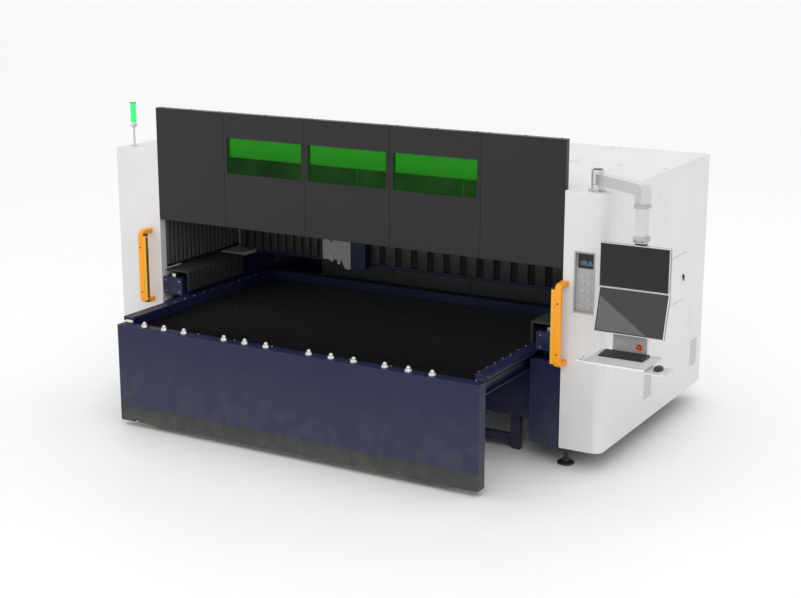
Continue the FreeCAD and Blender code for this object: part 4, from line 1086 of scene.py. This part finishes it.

# %% [markdown]
# ## Bed and gantry fittings
#
# Welded beams carry bolt heads in rows, and a toothed rack runs beside each guide rail. The cable
# chain in its tray along the left beam is not made here.

# %% Bed and gantry fittings
bed_low, bed_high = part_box("bed_side_right")
bed_left_low, bed_left_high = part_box("bed_side_left")
face_bolts = []
for low, high in ((bed_low, bed_high), (bed_left_low, bed_left_high)):
    side_in = low.x if low is bed_low else high.x - 0.236
    for x in (side_in + 0.035, side_in + 0.195):
        for z in (0.22, 0.46, 0.70):
            face_bolts.append((x, low.y + 0.0095, z))
screws("bed_front_bolts", "machine", face_bolts, "-Y", 0.009, "dark_steel")
ends = []
for low, high in ((bed_low, bed_high), (bed_left_low, bed_left_high)):
    x0 = 1.350 if low is bed_low else -2.050
    ends.append(block((x0, low.y - 0.0005, 0.872), (x0 + 0.166, low.y + 0.004, 0.988), 0.002))
settle(merge(*ends), "rail_beam_end_plates", "machine", "navy_paint")
screws("rail_beam_end_screws", "machine", [(x + dx, bed_low.y - 0.002, z) for x in (1.350, -2.050)
                                           for dx in (0.014, 0.152) for z in (0.886, 0.974)],
       "-Y", 0.0055, "steel")
gantry_low, gantry_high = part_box("gantry_beam")
lip_screws = [(gantry_low.x + 0.10 + 0.195 * n, gantry_low.y - 0.0008, gantry_low.z + 0.012)
              for n in range(16)]
screws("gantry_lip_screws", "gantry", lip_screws, "-Y", 0.0035, "dark_steel")
back_y = gantry_high.y
covers = []
for n in range(4):
    x0 = gantry_low.x + 0.25 + 0.70 * n
    covers.append(block((x0, back_y - 0.001, 1.11), (x0 + 0.48, back_y + 0.003, 1.29), 0.002))
settle(merge(*covers), "gantry_back_covers", "gantry", "grey_paint")
back_cover_places = [(gantry_low.x + 0.25 + 0.70 * n + dx, back_y + 0.0045, z)
                     for n in range(4) for dx in (0.02, 0.46) for z in (1.13, 1.27)]
screws("gantry_cover_screws", "gantry", back_cover_places, "Y", 0.005)
teeth = []
for side_x in (bed_high.x - 0.030, bed_left_low.x + 0.018):
    rack = block((side_x, -0.60, 1.000), (side_x + 0.012, 1.44, 1.006))
    tooth = array(block((side_x, -0.60, 1.005), (side_x + 0.012, -0.590, 1.013)), 102, (0, 0.020, 0))
    teeth += [rack, tooth]
settle(merge(*teeth), "drive_racks", "machine", "steel")
print("bed and gantry fittings done")

# %% [markdown]
# ## Rubber rings on the feet

# %% Feet
foot_low, foot_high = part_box("levelling_feet")
rubbers = []
for x in (foot_low.x + 0.062, foot_high.x - 0.062):
    for y in (-0.5265, 0.1485, 0.7885, 1.3685):
        deselect()
        bpy.ops.mesh.primitive_torus_add(major_radius=0.0585, minor_radius=0.0035, major_segments=36,
                                         minor_segments=8, location=(x, y, 0.0042))
        rubbers.append(bpy.context.object)
settle(merge(*rubbers), "foot_rings", "machine", "black_rubber")
print("feet done")

# %% [markdown]
# ## Sides, back and roof
#
# Louvres let the cabinets breathe. The back has two flush service doors with hinges and latches,
# and cable entries with gland nuts; its earth bolt is not made here. The roof sheets are screwed down along
# the seams.

# %% Outer sheets and louvre slots
#
# The back and left sheets are modelled again a little inside their CAD faces, so that seams, screws
# and slots on them stay within the size of the machine.


def louvre_dark(name, face, axis, across, low_z, rows, width, pitch=0.022):
    """The dark slots under the louvres."""
    index = "XY".index(axis[-1])
    sign_out = -1 if axis.startswith("-") else 1
    low, high = [0, 0, 0], [0, 0, 0]
    low[index], high[index] = sorted((face - sign_out * 0.004, face + sign_out * 0.0003))
    low[1 - index], high[1 - index] = across + 0.004, across + width - 0.004
    low[2], high[2] = low_z - 0.006, low_z - 0.001
    item = array(block(low, high), rows, (0, 0, pitch))
    return settle(item, name, "machine", "void_black")


whole_low, whole_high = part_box("roof_panels")
LEFT, RIGHT, BACK = whole_low.x + 0.0015, whole_high.x, whole_high.y - 0.0015
SHEET_LOW, SHEET_HIGH = 0.149, 2.037
seams_x = (-2.492, -1.472, -0.372, 0.728, 1.844)
sheets = [block((x0 + 0.001, BACK - 0.0015, SHEET_LOW), (x1 - 0.001, BACK, SHEET_HIGH), 0.0006)
          for x0, x1 in zip(seams_x, seams_x[1:])]
sheets.append(block((-1.8255, 1.4186, 0.50), (1.2815, 1.4210, 1.42)))
back_wall = settle(merge(*sheets), "back_wall", "machine", "white_paint")
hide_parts("rear_wall")
seams_y = (-0.3745, 0.3845, 1.1795, 1.4775)
sheets = [block((LEFT, y0 + 0.001, SHEET_LOW), (LEFT + 0.0015, y1 - 0.001, SHEET_HIGH), 0.0006)
          for y0, y1 in zip(seams_y, seams_y[1:])]
left_wall = settle(merge(*sheets), "left_wall", "machine", "white_paint")
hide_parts("side_panels_left")
for number, (y, z, rows) in enumerate(((0.20, 0.34, 10), (1.22, 0.34, 10)), start=1):
    louvre_dark("side_slots_right_%d" % number, RIGHT, "X", y, z, rows, 0.16)
    louvre_dark("side_slots_left_%d" % number, LEFT, "-X", y, z, rows, 0.16)
for number, x in enumerate((-2.10, -1.25, 0.35, 1.30), start=1):
    louvre_dark("back_slots_low_%d" % number, BACK, "Y", x, 0.36, 12, 0.30)
    louvre_dark("back_slots_high_%d" % number, BACK, "Y", x, 1.60, 12, 0.30)
print("slots done")

# %% [markdown]
# Two flush doors at the back are drawn by the hairline gap round them, with hinges and a latch
# each. Cable glands sit low in a small plate, and screws follow the seams of the sheets.

# %% Doors, hinges, glands and seams


def flat_frame_lines(name, low, high, axis, width=0.003):
    """A dark hairline rectangle: the gap round a flush door."""
    index = "XY".index(axis)
    other = 1 - index
    lines = []
    for start, end in (((low[other], low[2]), (low[other] + width, high[2])),
                       ((high[other] - width, low[2]), (high[other], high[2])),
                       ((low[other], low[2]), (high[other], low[2] + width)),
                       ((low[other], high[2] - width), (high[other], high[2]))):
        a, b = [0, 0, start[1]], [0, 0, end[1]]
        a[index], b[index] = low[index], high[index]
        a[other], b[other] = start[0], end[0]
        lines.append(block(a, b))
    return settle(merge(*lines), name, "machine", "void_black")


for number, x in enumerate((-2.05, 0.95), start=1):
    flat_frame_lines("back_door_gap_%d" % number, (x, BACK - 0.002, 0.72),
                     (x + 0.62, BACK + 0.0003, 1.52), "Y")
    hinge = repeat(rod(0.006, 0.06, (0, 0, 0), "Z", 0.001, 16),
                   [(x - 0.004, BACK - 0.0058, z) for z in (0.80, 1.38)])
    settle(hinge, "back_door_hinges_%d" % number, "machine", "black_plastic")
    latch = merge(rod(0.015, 0.003, (x + 0.56, BACK - 0.0028, 1.12), "Y", 0.001, 28),
                  block((x + 0.558, BACK - 0.001, 1.112), (x + 0.562, BACK + 0.0004, 1.128)))
    settle(latch, "back_door_latch_%d" % number, "machine", "black_plastic")
glands = []
for n in range(5):
    glands.append(rod(0.017, 0.0035, (-0.55 + 0.07 * n, BACK - 0.0032, 0.30), "Y", 0.001, 6))
settle(merge(*glands), "back_gland_nuts", "machine", "black_plastic")
entry = block((-0.62, BACK - 0.003, 0.255), (-0.20, BACK + 0.0002, 0.345), 0.001)
settle(entry, "back_gland_plate", "machine", "grey_paint")
roof_z = whole_high.z
roof_places = []
for x in (-2.46, -2.0, -1.5, -1.0, -0.5, 0.0, 0.5, 1.03, 1.09, 1.45, 1.81):
    for y in (0.545, 0.592, 1.445):
        roof_places.append((x, y, roof_z + 0.0005))
screws("roof_screws", "machine", roof_places, "Z", 0.006, "steel")
roof_seams = [block((x - 0.003, 0.60, roof_z - 0.004), (x + 0.003, BACK - 0.01, roof_z + 0.0004), 0.0004)
              for x in (-1.02, 0.04, 1.06)]
roof_seams.append(block((LEFT + 0.02, 0.566, roof_z - 0.004), (RIGHT - 0.02, 0.571, roof_z + 0.0004), 0.0004))
settle(merge(*roof_seams), "roof_seam_seals", "machine", "grey_plastic")
side_places = []
for y in (-0.34, 0.36, 0.41, 1.155, 1.205, 1.45):
    for z in (0.19, 0.80, 1.40, 1.99):
        side_places.append((y, z))
screws("side_screws_right", "machine", [(RIGHT - 0.0015, y, z) for y, z in side_places], "X", 0.005,
       "white_paint")
screws("side_screws_left", "machine", [(LEFT + 0.0015, y, z) for y, z in side_places], "-X", 0.005,
       "white_paint")
print("sides, back and roof done")

# %% [markdown]
# ## Floor, light and camera
#
# The machine stands on a plain pale floor that runs into a pale backdrop. Large soft lamps stand in
# for the windows of a workshop, and the camera looks from the right front, a little from above.

# %% Stage, light and camera


def area_light(name, place, aim, size, power, colour=(1.0, 1.0, 1.0)):
    deselect()
    bpy.ops.object.light_add(type="AREA", location=place)
    light = bpy.context.object
    light.name = name
    light.data.shape = "DISK"
    light.data.size = size
    light.data.energy = power
    light.data.color = colour
    direction = mathutils.Vector(aim) - mathutils.Vector(place)
    light.rotation_euler = direction.to_track_quat("-Z", "Y").to_euler()
    return light


deselect()
bpy.ops.mesh.primitive_plane_add(size=300, location=(0, 0, -0.0005))
floor = bpy.context.object
floor.name = "floor"
floor_finish = Finish("floor_finish")
speckle = floor_finish.noise(3, 5)
floor_finish.set(Base_Color=floor_finish.mix(speckle, rgb(0.93, 0.93, 0.93), rgb(0.95, 0.95, 0.95)),
                 Roughness=0.55 + 0.1 * speckle)
floor.data.materials.append(floor_finish.material)

world = bpy.data.worlds.new("studio")
bpy.context.scene.world = world
world.use_nodes = True
world.node_tree.nodes["Background"].inputs[0].default_value = (1.0, 1.0, 1.0, 1.0)
world.node_tree.nodes["Background"].inputs[1].default_value = 1.0
lights = [
    area_light("key", (3.5, -7.5, 6.5), (-0.3, -0.5, 1.0), 5.0, 120, (1.0, 0.985, 0.96)),
    area_light("left_fill", (-7.0, -5.0, 4.5), (-0.5, 0.0, 1.2), 5.0, 40, (0.95, 0.97, 1.0)),
    area_light("rear", (1.5, 8.0, 6.0), (0.0, 0.5, 1.0), 6.0, 24),
    area_light("top", (-0.5, 0.8, 7.0), (-0.3, 0.3, 0.0), 6.0, 8),
]

deselect()
bpy.ops.object.camera_add(location=(5.7519, -10.2214, 3.8915))
camera = bpy.context.object
camera.name = "camera"
YAW, PITCH = 0.5244130534, 0.2473960580
camera.rotation_euler = (math.pi / 2 - PITCH, 0.0, YAW)
camera.data.sensor_width = 36.0
camera.data.lens = 68.25
camera.data.dof.use_dof = False
camera.data.clip_end = 600.0
bpy.context.scene.camera = camera
bpy.context.scene.view_settings.view_transform = "Standard"
print("stage, lights and camera are set")
